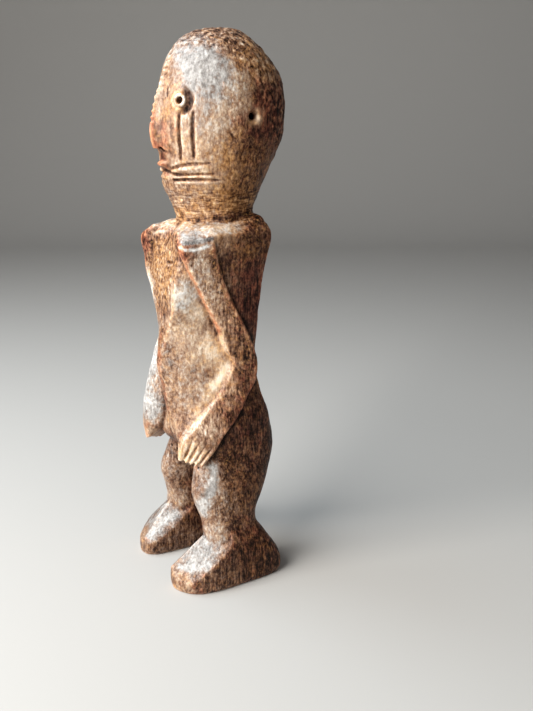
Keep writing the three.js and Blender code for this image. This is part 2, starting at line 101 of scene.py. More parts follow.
def smooth_step(low: float, high: float, value: Array) -> Array:
    """Rise smoothly from 0 at low to 1 at high, which may be the lower number."""
    share = np.clip((value - low) / (high - low), 0.0, 1.0)
    return share * share * (3.0 - 2.0 * share)


def squared(value: Array, squareness: float) -> Array:
    """Raise a sine or cosine to the power that squares an oval off, 2 being an ellipse."""
    return np.sign(value) * np.abs(value) ** (2.0 / squareness)


@dataclass(frozen=True)
class Course:
    """Numbers that change along a run of stations, joined by smooth curves.

    Attributes:
        table: One row for each station. The first column is its place on the run.
    """

    table: Array

    @classmethod
    def along(cls, rows: Rows | Array, measured: int = 3) -> Course:
        """Make a course whose place is the length walked from station to station.

        Args:
            rows: The stations.
            measured: How many of the first columns count as length.

        Returns:
            The course, with the length put before the other columns.
        """
        table = np.array(rows, dtype=float)
        steps = np.linalg.norm(np.diff(table[:, :measured], axis=0), axis=1)
        walked = np.concatenate([[0.0], np.cumsum(steps)])
        return cls(np.column_stack([walked, table]))

    @classmethod
    def through(cls, rows: Rows) -> Course:
        """Make a course whose place is the first number of each station."""
        return cls(np.array(rows, dtype=float))

    @property
    def length(self) -> float:
        """The last station's place."""
        return float(self.table[-1, 0])

    def places(self, step: float) -> Array:
        """Even places from end to end, about a step apart."""
        start = float(self.table[0, 0])
        return np.linspace(start, self.length, max(3, int((self.length - start) / step)))

    def at(self, places: Array) -> Array:
        """Read every column after the first at some places.

        Args:
            places: Where to read.

        Returns:
            One row for each place.
        """
        knots = self.table[:, 0]
        values = self.table[:, 1:]
        slopes = np.gradient(values, knots, axis=0)
        i = np.clip(np.searchsorted(knots, places, side="right") - 1, 0, len(knots) - 2)
        span = (knots[i + 1] - knots[i])[:, None]
        t = np.clip((places - knots[i])[:, None] / span, 0.0, 1.0)
        rise = 3.0 * t**2 - 2.0 * t**3
        return (
            (1.0 - rise) * values[i]
            + rise * values[i + 1]
            + (t**3 - 2.0 * t**2 + t) * span * slopes[i]
            + (t**3 - t**2) * span * slopes[i + 1]
        )


@dataclass(frozen=True)
class Shell:
    """A closed surface as points, four-sided faces and end triangles."""

    points: Array
    quads: Array
    triangles: Array

    @classmethod
    def loft(cls, rings: Array) -> Shell:
        """Close a surface through rings of equal count.

        Args:
            rings: Points by ring, by place round the ring, by coordinate.

        Returns:
            The closed surface.
        """
        courses, sides, _ = rings.shape
        index = np.arange(courses * sides).reshape(courses, sides)
        beside = np.roll(index, -1, axis=1)
        quads = np.stack([index[:-1], beside[:-1], beside[1:], index[1:]], axis=-1)
        hubs = rings[[0, -1]].mean(axis=1)
        low, high = courses * sides, courses * sides + 1
        bottom = np.stack([np.full(sides, low), beside[0], index[0]], axis=-1)
        top = np.stack([np.full(sides, high), index[-1], beside[-1]], axis=-1)
        return cls(
            np.concatenate([rings.reshape(-1, 3), hubs]),
            quads.reshape(-1, 4),
            np.concatenate([bottom, top]),
        )

    def mirrored(self, side: Side) -> Shell:
        """The same shell on the asked side of the middle plane."""
        return Shell(self.points * [side.value, 1.0, 1.0], self.quads, self.triangles)


def bowed(start: Array, end: Array, bow: float, steps: int) -> Array:
    """Points of a panel that swells a little between its two edges.

    Args:
        start: The first edge, one point for each ring.
        end: The second edge.
        bow: The swelling, as a share of the panel's width.
        steps: How many points to make, the second edge left out.

    Returns:
        Points by ring, by step, by coordinate.
    """
    t = np.arange(steps)[None, :, None] / steps
    run = end - start
    outward = np.stack([run[:, 1], -run[:, 0], np.zeros(len(run))], axis=-1)
    flat = start[:, None] * (1.0 - t) + end[:, None] * t
    return flat + outward[:, None] * (4.0 * bow * t * (1.0 - t))


def rounded(corners: Array, reaches: Array, steps: int) -> Array:
    """Round the corners of closed outlines.

    Args:
        corners: Points by outline, by corner, by coordinate.
        reaches: How far from each corner the rounding starts.
        steps: How many points stand for a corner.

    Returns:
        Points by outline, by place round it, by coordinate.
    """
    to_last = np.roll(corners, 1, axis=1) - corners
    to_next = np.roll(corners, -1, axis=1) - corners
    far_last = np.linalg.norm(to_last, axis=2, keepdims=True)
    far_next = np.linalg.norm(to_next, axis=2, keepdims=True)
    reach = np.asarray(reaches, dtype=float).reshape(1, -1, 1)
    start = corners + to_last * np.minimum(reach / far_last, CORNER_LIMIT)
    end = corners + to_next * np.minimum(reach / far_next, CORNER_LIMIT)
    t = np.linspace(0.0, 1.0, steps)[None, None, :, None]
    points = start[:, :, None] * (1 - t) ** 2 + corners[:, :, None] * 2 * t * (1 - t) + end[:, :, None] * t**2
    return points.reshape(len(corners), -1, corners.shape[2])


def cell_corners(inside: Array) -> Iterator[tuple[tuple[int, ...], Array]]:
    """Walk the eight corners of a grid's cell.

    Args:
        inside: Where points lie in their cells, from 0 to 1 along each axis.

    Yields:
        Each corner, and its share in every point.
    """
    for corner in np.ndindex(2, 2, 2):
        parts = [inside[:, i] if far else 1.0 - inside[:, i] for i, far in enumerate(corner)]
        yield corner, np.prod(parts, axis=0)


@dataclass
class Head:
    """The long egg of the head and its neck."""

    # z, half width, middle y, front y, back y
    stations: Rows = (
        (318, 31.5, 8.5, -22, 40), (327, 32.5, 8, -24, 41.5), (335, 33.5, 8, -26.5, 43.5),
        (344, 35, 8.7, -30.5, 47.7), (352, 37, 9, -35, 51.5), (366, 40.5, 11, -37, 58),
        (382, 43.5, 13, -38, 66.5), (396, 45.5, 14, -39.5, 72), (411, 46.5, 14, -39.5, 73.4),
        (426, 46, 14, -37.5, 73.2), (440, 44, 14.5, -34, 70), (452, 40.5, 15, -30.5, 62.8),
        (465, 33, 16, -22.5, 50.7), (474, 23, 17.5, -10, 40), (479, 10, 19, 6, 29),
        (480, 1.5, 19, 16, 22),
    )
    face_squareness: float = 1.9
    nape_squareness: float = 2.0
    sides: int = 160
    ring_step: float = 1.5

    def profile(self, z: Array) -> Array:
        """Half width, middle, front and back at some heights."""
        return Course.through(self.stations).at(z)

    def shell(self) -> Shell:
        """Loft the head."""
        course = Course.along(self.stations, measured=4)
        z, half, mid, front, back = course.at(course.places(self.ring_step)).T[:, :, None]
        angle = np.linspace(0.0, 2.0 * math.pi, self.sides, endpoint=False)[None]
        sine, cosine = np.sin(angle), np.cos(angle)
        before = sine < 0.0
        x = np.where(before, squared(cosine, self.face_squareness), squared(cosine, self.nape_squareness))
        y = np.where(
            before,
            (mid - front) * squared(sine, self.face_squareness),
            (back - mid) * squared(sine, self.nape_squareness),
        )
        return Shell.loft(np.stack([half * x, mid + y, z + 0.0 * x], axis=-1))

    def face_point(self, x: float, z: float) -> Array:
        """The point of the face's skin at a distance from the middle line."""
        half, mid, front, _ = self.profile(np.array([z]))[0]
        share = min(abs(x) / half, 1.0) ** self.face_squareness
        return np.array([x, mid - (mid - front) * (1.0 - share) ** (1.0 / self.face_squareness), z])

    def face_normal(self, x: float, z: float) -> Array:
        """The direction straight out of the face at a point."""
        across = self.face_point(x + 1.0, z) - self.face_point(x - 1.0, z)
        up = self.face_point(x, z + 1.0) - self.face_point(x, z - 1.0)
        out = np.cross(across, up)
        return out / np.linalg.norm(out)

    def side_point(self, y: float, z: float, side: Side) -> Array:
        """The point of the head's side at a distance from front to back."""
        half, mid, front, back = self.profile(np.array([z]))[0]
        reach = back - mid if y > mid else mid - front
        share = min(abs(y - mid) / reach, 1.0)
        return np.array([side.value * half * math.sqrt(1.0 - share**2), y, z])


@dataclass
class Trunk:
    """The block of the body, from the crotch to the low dome of the shoulders."""

    # z, mid y, keel x y, flank x y, side x y, back corner x y, back y
    stations: Rows = (
        (111, -14, 4, -14, 9, -13, 14, -6, 13, 24, 22),
        (118, -26, 5, -26, 17, -26, 30, -12, 22, 32, 29),
        (126, -33, 5, -33, 22, -35, 37, -16, 30, 34, 33),
        (138, -37.5, 4.5, -37, 24, -38, 39, -12, 35, 38, 37),
        (155, -41, 4, -40.3, 26.5, -28, 39, -2, 36, 38.5, 38),
        (176, -45, 4, -44.5, 28.2, -18, 38, 8, 35, 35.5, 35),
        (200, -49, 4.5, -48.3, 30, -3, 37, 14, 34, 31, 31.5),
        (214, -47.5, 6, -46.2, 30.5, -2, 37, 14, 35, 31, 32),
        (232, -44.2, 10, -43, 29.2, -6.5, 38, 8, 37.2, 32.3, 33.5),
        (248, -42.8, 18, -42, 29, -13.5, 39.5, 2, 37.5, 33, 34.5),
        (266, -43, 25, -42.8, 30, -24.5, 41, -4, 38, 35, 36.5),
        (286, -41.5, 25, -41, 31.6, -34, 42.5, -10, 40, 38.5, 40),
        (300, -37.5, 21, -39, 31, -35, 43.5, -13, 41, 41, 42),
        (310, -33, 18.5, -38.5, 31, -35, 44.5, -15, 42, 43, 43.5),
        (316, -29, 17, -37, 30, -33, 45, -16, 42, 43, 43.5),
    )
    # Rise over the shoulder edge, and how far the outline is drawn in there
    dome: Rows = (
        (0, 0), (2.2, 0.1), (5, 0.3), (7.2, 0.5), (8.5, 0.75), (8.8, 1),
    )
    dome_top: float = 0.6
    # How much higher the dome stands behind the neck, as a share for each millimetre
    dome_back_lift: float = 0.023
    flank_bow: float = 0.07
    panel_bow: float = 0.02
    back_bow: float = 0.03
    # From the back corner to the rear end of the side's flat, in x and y
    side_flat: tuple[float, float] = (2.0, -16.0)
    back_rounding: float = 1.0
    panel_steps: int = 8
    ring_step: float = 2.0
    dome_step: float = 1.0

    def rings(self) -> Array:
        """The outlines up to the shoulder edge."""
        course = Course.through(self.stations)
        z = course.places(self.ring_step)
        mid, keel_x, keel_y, flank_x, flank_y, side_x, side_y, corner_x, corner_y, back = course.at(z).T
        zero = np.zeros_like(z)
        flat_x, flat_y = self.side_flat
        edges = [
            np.stack(pair, axis=-1)
            for pair in (
                (zero, mid, z),
                (keel_x, keel_y, z),
                (flank_x, flank_y, z),
                (side_x, side_y, z),
                (corner_x + flat_x, corner_y + flat_y, z),
                (corner_x - self.back_rounding, corner_y, z),
                (zero, back, z),
            )
        ]
        bows = (0.0, self.flank_bow, self.panel_bow, self.panel_bow, self.back_bow, self.back_bow)
        panels = [bowed(a, b, bow, self.panel_steps) for a, b, bow in zip(edges, edges[1:], bows)]
        left = np.concatenate(panels + [edges[-1][:, None]], axis=1)
        right = left[:, -2:0:-1] * [-1.0, 1.0, 1.0]
        return np.concatenate([left, right], axis=1)

    def shell(self) -> Shell:
        """Loft the trunk and its dome."""
        rings = self.rings()
        middle = np.array([0.0, NECK_MIDDLE_Y, SHOULDER_HEIGHT])
        course = Course.through(self.dome)
        rises = course.places(self.dome_step)[1:]
        lift = 1.0 + self.dome_back_lift * np.maximum(rings[-1][:, 1:2] - NECK_MIDDLE_Y, 0.0)
        upward = lift * [0.0, 0.0, 1.0]
        tops = [
            middle + (rings[-1] - middle) * (1.0 + (self.dome_top - 1.0) * drawn) + upward * rise
            for rise, drawn in zip(rises, course.at(rises)[:, 0])
        ]
        return Shell.loft(np.concatenate([rings, np.array(tops)]))


@dataclass
class Arm:
    """An arm held flat to the body, with its hand at the hip."""

    side: Side
    # front edge x y z, back edge x y z, bevel spread, bevel step, depth, rise of the inner end
    stations: Rows
    # How far each edge is rounded: front, crown, back, inner back, inner front, bevel
    edges: Row = (0.9, 8.0, 3.0, 1.0, 1.0, 1.2)
    crown: float = 1.0
    heart: float = 6.0
    corner_steps: int = 5
    ring_step: float = 2.5
    digit_grooves: int = 4
    digit_length: float = 24.0
    digit_fan: float = 0.04
    # How far the grooves run past the tips, and what is left at their upper ends, as shares
    digit_overrun: float = 0.05
    digit_taper: float = 0.15
    # Half a groove's width where it ends and what is added where it is deepest, and its depth
    digit_width: tuple[float, float] = (0.6, 1.0)
    digit_depth: float = 3.5

    @classmethod
    def bent(cls) -> Arm:
        """The left arm, bent back at the elbow."""
        return cls(Side.LEFT, (
            (29, -32.5, 318, 42, -12, 318.5, 8, 5, 10, 0),
            (37.6, -41, 307, 47.5, -14, 309.5, 2.5, 5, 10, 0),
            (38.3, -33.6, 290, 46.5, -9.6, 290, 3.5, 5, 9, 0),
            (37, -24, 271, 46, -2.4, 270, 3.7, 5, 9, 0),
            (36, -15.2, 254, 45.2, 6.2, 252, 3.7, 5, 9, 0),
            (35.6, -8, 239, 44.6, 15, 236, 3.5, 5, 9, 0),
            (37.3, 0.8, 216, 44, 25.5, 213, 3, 5.5, 9, 0),
            (38, 7.3, 202, 44, 28, 200, 3, 6, 9, 0),
            (36.8, 3.5, 192, 44.5, 27, 188, 5.5, 6.5, 9, 0),
            (35.5, -5.5, 176, 45.5, 17.5, 174, 8, 7.5, 9, 0),
            (35, -18, 161.5, 46, 6, 155, 9, 8, 9, 0),
            (34, -30, 148.5, 46.5, -7, 141, 7, 8, 10, 0),
            (33, -43, 135.5, 46.5, -18, 127, 4, 7, 11, 0),
            (31.5, -47, 119.5, 45, -30.5, 112.5, 1, 3, 10, 9),
        ))

    @classmethod
    def straighter(cls) -> Arm:
        """The right arm, bent less, with its forearm further forward."""
        return cls(Side.RIGHT, (
            (30, -35, 320, 42, -12, 319.5, 8, 5, 10, 0),
            (37.5, -44, 311, 47.5, -14, 311, 4, 8.5, 10, 0),
            (37, -43, 292, 46.5, -9.6, 290, 2.5, 8.5, 9, 0),
            (36, -42.5, 277, 46, -3.5, 270, 1, 7, 9, 0),
            (35, -37.5, 260, 45.2, 3.5, 252, 1, 5, 9, 0),
            (33, -33.5, 241, 44.6, 9.5, 236, 1, 5, 12, 0),
            (31, -32.5, 228, 44, 15, 214, 2, 6, 16, 0),
            (32.5, -39.5, 203, 44, 13, 196, 3, 8, 18, 0),
            (33.5, -47, 178, 45, 2, 172, 3, 9, 19, 0),
            (34, -52, 156, 45.5, -11, 150, 3, 9, 17, 0),
            (33.5, -53, 137, 45.5, -21, 130, 3, 8, 12, 0),
            (31.5, -51.5, 121, 44, -32, 113, 1, 3, 12, 10),
        ), edges=(2.5, 8.0, 3.0, 1.0, 5.0, 5.0))

    def shell(self) -> Shell:
        """Loft the arm."""
        course = Course.along(self.stations)
        columns = course.at(course.places(self.ring_step))
        front, back = columns[:, 0:3], columns[:, 3:6]
        spread, step, deep, rise = columns[:, 6:10].T[:, :, None]
        along = back - front
        along[:, 2] = 0.0
        along /= np.linalg.norm(along, axis=1, keepdims=True)
        inward = np.stack([-along[:, 1], along[:, 0], np.zeros(len(along))], axis=-1)
        lift = rise * np.array([0.0, 0.0, 1.0])
        bevel = front - spread * along + step * inward
        crown = (front + back) / 2.0 - self.crown * inward
        inner_back = back + deep * inward + lift
        inner_front = bevel + deep * inward + self.heart * along + lift
        rings = np.stack([front, crown, back, inner_back, inner_front, bevel], axis=1)
        return Shell.loft(rounded(rings, self.edges, self.corner_steps)).mirrored(self.side)

    def digit_lines(self) -> list[tuple[Array, Array, Array]]:
        """The lines between the digits.

        Returns:
            The lower end, the upper end and the outward direction of each line.
        """
        knuckle, tip = (np.array(row, dtype=float) for row in self.stations[-2:])
        flip = np.array([self.side.value, 1.0, 1.0])
        lines = []
        for i in range(1, self.digit_grooves + 1):
            share = i / (self.digit_grooves + 1)
            low = tip[0:3] + (tip[3:6] - tip[0:3]) * share
            high = knuckle[0:3] + (knuckle[3:6] - knuckle[0:3]) * (share + self.digit_fan)
            run = (high - low) / np.linalg.norm(high - low) * self.digit_length
            out = np.cross(tip[3:6] - tip[0:3], run)
            out /= np.linalg.norm(out)
            lines.append(((low - self.digit_overrun * run) * flip, (low + run) * flip, out * flip))
        return lines


@dataclass
class Leg:
    """A short thick leg, and the long foot under it."""

    side: Side
    # z, middle x, middle y, half width, half depth
    stations: Rows = (
        (28, 42.5, 0, 18, 24), (44, 40.5, -0.5, 18, 26), (55, 38.5, -1.5, 17.5, 25.5),
        (68, 36.8, -1, 17.5, 29), (86, 34.3, 2, 17.7, 36), (103, 30.5, 7.5, 18.3, 37.5),
        (119, 27, 12.5, 19, 38), (136, 24.5, 15.5, 19.5, 34.5), (155, 23.5, 18.5, 18, 25.5),
        (176, 20, 15, 12, 15),
    )
    squareness: float = 2.4
    sides: int = 96
    ring_step: float = 2.0
    # x and y of the sole's corners
    sole: Rows = (
        (23, 37), (62, 37), (66, 24), (66.5, -26), (62, -44.5), (52.5, -53.5),
        (40, -58.5), (27.5, -57), (21, -48), (18.5, -18), (19, 24),
    )
    # z, how far the outline is drawn in, how far the heel stands out, share of the leg's oval
    foot_stations: Rows = (
        (0, 2.2, 2.5, 0), (3, 0.6, 4.5, 0), (14, 0, 6, 0), (26, 0.2, 4, 0.1),
        (39, 1, 0, 0.42), (50, 2, 0, 0.87), (60, 2, 0, 1.03),
    )
    foot_middle: tuple[float, float] = (42.0, -10.0)
    foot_half: tuple[float, float] = (23.0, 48.0)
    heel_start: float = 5.0
    heel_run: float = 25.0
    foot_ring_step: float = 1.5
    sole_rounding: float = 9.0
    sole_corner_steps: int = 7
    # How far back the facets reach, how softly they end there, and how soft their own edges are
    instep_end: float = -9.0
    instep_fade: float = 3.0
    facet_softness: float = 0.4
    # The instep's two flat facets and the toe's, each as a point and a direction
    facets: tuple[tuple[Point, Point], ...] = (
        ((62.5, -10.9, 40.6), (0.7, -0.69, 1)),
        ((23, -40.8, 21.8), (-0.95, -0.69, 1)),
        ((38, -58, 13), (0.55, -1.1, 1)),
    )

    def oval(self, angle: Array, z: Array) -> Array:
        """Points of the leg's skin at angles round its middle."""
        x, y, half, deep = Course.through(self.stations).at(z).T[:, :, None]
        return np.stack([
            x + half * squared(np.cos(angle), self.squareness),
            y + deep * squared(np.sin(angle), self.squareness),
            z[:, None] + 0.0 * angle,
        ], axis=-1)

    def shell(self) -> Shell:
        """Loft the leg."""
        z = Course.through(self.stations).places(self.ring_step)
        angle = np.linspace(0.0, 2.0 * math.pi, self.sides, endpoint=False)[None]
        return Shell.loft(self.oval(angle, z)).mirrored(self.side)

    def outline(self) -> Array:
        """The sole's outline with its corners rounded, as a closed run of points."""
        corners = np.array(self.sole, dtype=float)[None]
        return rounded(corners, [self.sole_rounding] * len(self.sole), self.sole_corner_steps)[0]

    def foot_shell(self) -> Shell:
        """Loft the foot, whose outline turns into the leg's oval on the way up."""
        course = Course.through(self.foot_stations)
        z = course.places(self.foot_ring_step)
        inset, heel, to_leg = course.at(z).T[:, :, None]
        outline = self.outline()
        out_x = (outline[:, 0] - self.foot_middle[0])[None]
        out_y = (outline[:, 1] - self.foot_middle[1])[None]
        share = inset / np.maximum(np.abs(out_x), self.foot_half[0] / 2.0)
        behind = np.clip((outline[:, 1] - self.heel_start) / self.heel_run, 0.0, 1.0)[None]
        drawn = np.stack([
            outline[:, 0] - out_x * share,
            outline[:, 1] + heel * behind,
            z[:, None] + 0.0 * out_x,
        ], axis=-1)
        angle = np.arctan2(out_y / self.foot_half[1], out_x / self.foot_half[0])
        rings = drawn * (1.0 - to_leg[..., None]) + self.oval(angle, z) * to_leg[..., None]
        return Shell.loft(rings).mirrored(self.side)


class Block:
    """A block of wood, held as signed distances to its skin on a regular grid."""

    def __init__(self, low: Point, high: Point, step: float) -> None:
        """Lay out the grid.

        Args:
            low: The lowest corner.
            high: The highest corner.
            step: The grid's spacing.
        """
        self.step = step
        self.first = np.floor(np.array(low) / step).astype(int)
        self.count = np.ceil(np.array(high) / step).astype(int) - self.first + 1
        self.depth = np.full(self.count, FAR, dtype=np.float32)

    def axis(self, i: int, window: tuple[slice, ...] | None = None) -> Array:
        """The places of the grid's planes along one axis, shaped for broadcasting."""
        places = (np.arange(self.count[i]) + self.first[i]) * self.step
        if window is not None:
            places = places[window[i]]
        shape = [1, 1, 1]
        shape[i] = -1
        return places.reshape(shape).astype(np.float32)

    def window(self, low: Array, high: Array) -> tuple[slice, ...]:
        """The part of the grid between two corners."""
        start = np.clip(np.floor(low / self.step).astype(int) - self.first, 0, self.count - 1)
        stop = np.clip(np.ceil(high / self.step).astype(int) - self.first + 1, 1, self.count)
        return tuple(slice(a, b) for a, b in zip(start, stop))

    def around(self, spot: Array, reach: Array | float) -> tuple[tuple[slice, ...], Array, Array, Array]:
        """The part of the grid round a spot, and its x, y and z as seen from there."""
        window = self.window(spot - reach, spot + reach)
        return (window, *(self.axis(i, window) - spot[i] for i in range(3)))

    def distances(self, shell: Shell) -> Array:
        """Signed distances to a shell, cut off at a distance of FAR.

        Args:
            shell: The closed surface.

        Returns:
            Numbers for the whole grid, below zero inside.
        """
        grid = openvdb.FloatGrid.createLevelSetFromPolygons(
            points=shell.points.astype(np.float32),
            triangles=shell.triangles.astype(np.uint32),
            quads=shell.quads.astype(np.uint32),
            transform=openvdb.createLinearTransform(voxelSize=self.step),
            halfWidth=FAR / self.step,
        )
        values = np.empty(self.count, dtype=np.float32)
        grid.copyToArray(values, ijk=tuple(int(i) for i in self.first))
        return values

    def join(self, values: Array, fillet: float) -> None:
        """Add wood, with a hollow of a given size where the skins meet."""
        self.depth = blend_low(self.depth, values, fillet)

    def cut(self, values: Array, window: tuple[slice, ...], softness: float) -> None:
        """Take away wood in a window of the grid, with the cut's edge rounded."""
        self.depth[window] = -blend_low(-self.depth[window], values, softness)

    def engrave(self, path: Array, widths: Array, depths: Array, shape: Cut) -> None:
        """Press a line into the skin, or raise it where the depth is below zero.

        Args:
            path: Points of the line, on the skin.
            widths: Half the line's width at each point.
            depths: How deep it goes at each point.
            shape: The shape of its floor.
        """
        reach = float(np.max(widths)) + float(np.max(np.abs(depths))) + 2.0 * self.step
        window = self.window(path.min(axis=0) - reach, path.max(axis=0) + reach)
        x, y, z = (self.axis(i, window) for i in range(3))
        skin = self.depth[window]
        best = np.full(skin.shape, BEYOND, dtype=np.float32)
        width = np.ones_like(best)
        depth = np.zeros_like(best)
        for i in range(len(path) - 1):
            start, run = path[i], path[i + 1] - path[i]
            along = (x - start[0]) * run[0] + (y - start[1]) * run[1] + (z - start[2]) * run[2]
            t = np.clip(along / max(float(run @ run), 1e-9), 0.0, 1.0)
            away = (
                (x - start[0] - run[0] * t) ** 2
                + (y - start[1] - run[1] * t) ** 2
                + (z - start[2] - run[2] * t) ** 2
            )
            nearer = away < best
            best = np.where(nearer, away, best)
            width = np.where(nearer, widths[i] * (1 - t) + widths[i + 1] * t, width)
            depth = np.where(nearer, depths[i] * (1 - t) + depths[i + 1] * t, depth)
        across = np.sqrt(np.maximum(best - skin**2, 0.0)) / width
        if shape is Cut.VEE:
            profile = np.maximum(1.0 - across, 0.0)
        else:
            profile = 1.0 - smooth_step(FLAT_FLOOR, 1.0, across)
        self.depth[window] = skin + depth * profile

    def blurred(self, reach: float) -> Array:
        """The distances averaged over a bell of a given reach.

        Args:
            reach: The bell's standard deviation.

        Returns:
            The averaged distances.
        """
        sigma = reach / self.step
        half = max(1, int(math.ceil(BELL_END * sigma)))
        taps = np.exp(-0.5 * (np.arange(-half, half + 1) / sigma) ** 2)
        taps /= taps.sum()
        values = self.depth
        for i in range(3):
            padded = np.pad(values, [(half, half) if i == j else (0, 0) for j in range(3)], mode="edge")
            total = np.zeros_like(values)
            for j, tap in enumerate(taps):
                spot = [slice(None)] * 3
                spot[i] = slice(j, j + values.shape[i])
                total += np.float32(tap) * padded[tuple(spot)]
            values = total
        return values

    def read(self, values: Array, points: Array) -> Array:
        """Read grid values at points between the grid's own.

        Args:
            values: Numbers for the whole grid.
            points: Where to read.

        Returns:
            One number for each point.
        """
        places = points / self.step - self.first
        low = np.clip(np.floor(places).astype(int), 0, self.count - 2)
        inside = np.clip(places - low, 0.0, 1.0)
        total = np.zeros(len(points))
        for corner, share in cell_corners(inside):
            total += share * values[tuple((low + np.array(corner)).T)]
        return total

    def skin_point(self, outside: Array, inward: Array) -> Array:
        """Where a line from outside first meets the wood.

        Args:
            outside: The line's start.
            inward: Its direction.

        Returns:
            The meeting point, or the start where there is none.
        """
        inward = inward / np.linalg.norm(inward)
        steps = np.arange(0.0, PROBE_REACH, PROBE_STEP)
        line = outside + steps[:, None] * inward
        inside = self.read(self.depth, line) < 0.0
        return line[int(np.argmax(inside))] if inside.any() else outside

    def front_point(self, x: float, z: float) -> Array:
        """Where a line from straight in front first meets the wood."""
        return self.skin_point(np.array([x, FRONT_Y, z]), np.array([0.0, 1.0, 0.0]))

    def surface(self) -> tuple[Array, Array, Array]:
        """Turn the skin into points, triangles and four-sided faces."""
        grid = openvdb.FloatGrid(FAR)
        grid.transform = openvdb.createLinearTransform(voxelSize=self.step)
        grid.copyFromArray(self.depth, ijk=tuple(int(i) for i in self.first))
        return grid.convertToPolygons(isovalue=0.0, adaptivity=0.0)

    def outward(self, points: Array) -> Array:
        """The skin's outward direction at points on it."""
        slope = []
        for i in range(3):
            shift = np.zeros(3)
            shift[i] = self.step
            slope.append(self.read(self.depth, points + shift) - self.read(self.depth, points - shift))
        out = np.stack(slope, axis=-1)
        return out / np.maximum(np.linalg.norm(out, axis=1, keepdims=True), 1e-9)


def blend_low(first: Array, second: Array, reach: float) -> Array:
    """The lower of two distances, rounded where they cross.

    Args:
        first: Distances.
        second: Other distances.
        reach: How far from the crossing the rounding starts. 0 gives a sharp corner.

    Returns:
        The blended distances.
    """
    if reach <= 0.0:
        return np.minimum(first, second)
    share = np.clip(0.5 + 0.5 * (second - first) / reach, 0.0, 1.0)
    return (second * (1.0 - share) + first * share - reach * share * (1.0 - share)).astype(np.float32)


@dataclass(frozen=True)
class Mottle:
    """Smooth random values in space, the same on every run.

    Attributes:
        cell: The size of one patch along each axis.
        seed: The start of the random draws.
        octaves: How many finer layers are added.
        height: The size of the values.
        cells: After how many patches they repeat.
        layer_shift: How far each layer is moved against the last one, in patches.
        spread: Widens the values, which averaging narrows, to about -1 to 1.
    """

    cell: Point
    seed: int
    octaves: int = 1
    height: float = 1.0
    cells: int = 64
    layer_shift: float = 17.3
    spread: float = 1.6

    def at(self, points: Array) -> Array:
        """Read the values at points."""
        total = np.zeros(len(points))
        weight = 0.0
        for layer in range(self.octaves):
            draw = np.random.default_rng(self.seed + layer)
            table = draw.uniform(-1.0, 1.0, (self.cells, self.cells, self.cells))
            places = points / np.array(self.cell) * 2.0**layer + self.layer_shift * layer
            low = np.floor(places).astype(int)
            value = np.zeros(len(points))
            for corner, share in cell_corners(smooth_step(0.0, 1.0, places - low)):
                value += share * table[tuple(((low + np.array(corner)) % self.cells).T)]
            total += value * 0.5**layer
            weight += 0.5**layer
        return total / weight * self.spread * self.height


@dataclass(frozen=True)
class KnifeMarks:
    """Shallow dishes side by side, as a knife or a small adze leaves them.

    Attributes:
        cell: The size of one dish along each axis.
        seed: The start of the random draws.
        height: How high the skin stands between the dishes.
        floor: How far the dishes are sunk below the skin.
        cells: After how many dishes they repeat.
        room: Between which places in its cell a dish's middle lies.
    """

    cell: Point
    seed: int
    height: float
    floor: float
    cells: int = 32
    room: tuple[float, float] = (0.15, 0.85)

    def at(self, points: Array) -> Array:
        """Read how high the dished skin stands at points."""
        draw = np.random.default_rng(self.seed)
        table = draw.uniform(*self.room, (self.cells, self.cells, self.cells, 3))
        places = points / np.array(self.cell)
        home = np.floor(places).astype(int)
        best = np.full(len(points), BEYOND)
        for shift in np.ndindex(3, 3, 3):
            cell = home + np.array(shift) - 1
            middles = cell + table[tuple((cell % self.cells).T)]
            best = np.minimum(best, np.sum((places - middles) ** 2, axis=1))
        return np.clip(best, 0.0, 1.0) * self.height - self.floor


@dataclass(frozen=True)
class Zone:
    """A soft-edged part of the skin with its own colour: mostly rubbing and stains, and on some zones painted
    highlights, sheen and shade.

    Attributes:
        place: Its middle.
        reach: How far it spreads.
        wear_and_light: Its values, in the order of Patina.names.
    """

    place: Point
    reach: float
    wear_and_light: Row

    def weight(self, points: Array) -> Array:
        """How much the zone counts at points."""
        away = np.sum((points - np.array(self.place)) ** 2, axis=1)
        return np.exp(-away / self.reach**2)


@dataclass(frozen=True)
class Trail:
    """A line along the skin with its own colour, laid over the zones: some paint rubbed edges and stains,
    some paint highlights, sheen and shade.

    Attributes:
        path: Its points.
        reach: How far it spreads to each side.
        wear_and_light: Its values, in the order of Patina.names.
    """

    path: tuple[Point, ...]
    reach: float
    wear_and_light: Row

    def weight(self, points: Array) -> Array:
        """How much the trail counts at points."""
        path = np.array(self.path, dtype=float)
        best = np.full(len(points), BEYOND)
        for start, run in zip(path, np.diff(path, axis=0)):
            t = np.clip((points - start) @ run / float(run @ run), 0.0, 1.0)
            best = np.minimum(best, np.sum((points - start - t[:, None] * run) ** 2, axis=1))
        return np.exp(-best / self.reach**2)

    def mirrored(self) -> Trail:
        """The same trail on the other side of the middle plane."""
        return Trail(tuple((-x, y, z) for x, y, z in self.path), self.reach, self.wear_and_light)


@dataclass(frozen=True)
class Stroke:
    """How a cut line swells between its ends, as a part of a half wave.

    Attributes:
        start: How far into the half wave the line starts.
        end: How far before the half wave's end it ends.
        width: Half its width without the swell.
        swell: How much the full swell adds to that.
        depth: Its depth at full swell, below zero for a raised line.
        skew: Below 1 the line is fullest nearer to its end.
        bluntness: Below 1 it stays full over more of its length.
        shape: The shape of its floor.
    """

    start: float
    end: float
    width: float
    swell: float
    depth: float
    skew: float = 1.0
    bluntness: float = 1.0
    shape: Cut = Cut.ROUND

    def press(self, block: Block, path: Array) -> None:
        """Press the line into the block along a path on its skin."""
        angle = np.linspace(self.start, math.pi - self.end, len(path)) ** self.skew
        wave = np.sin(angle) ** self.bluntness
        block.engrave(path, self.width + self.swell * wave, self.depth * wave, self.shape)


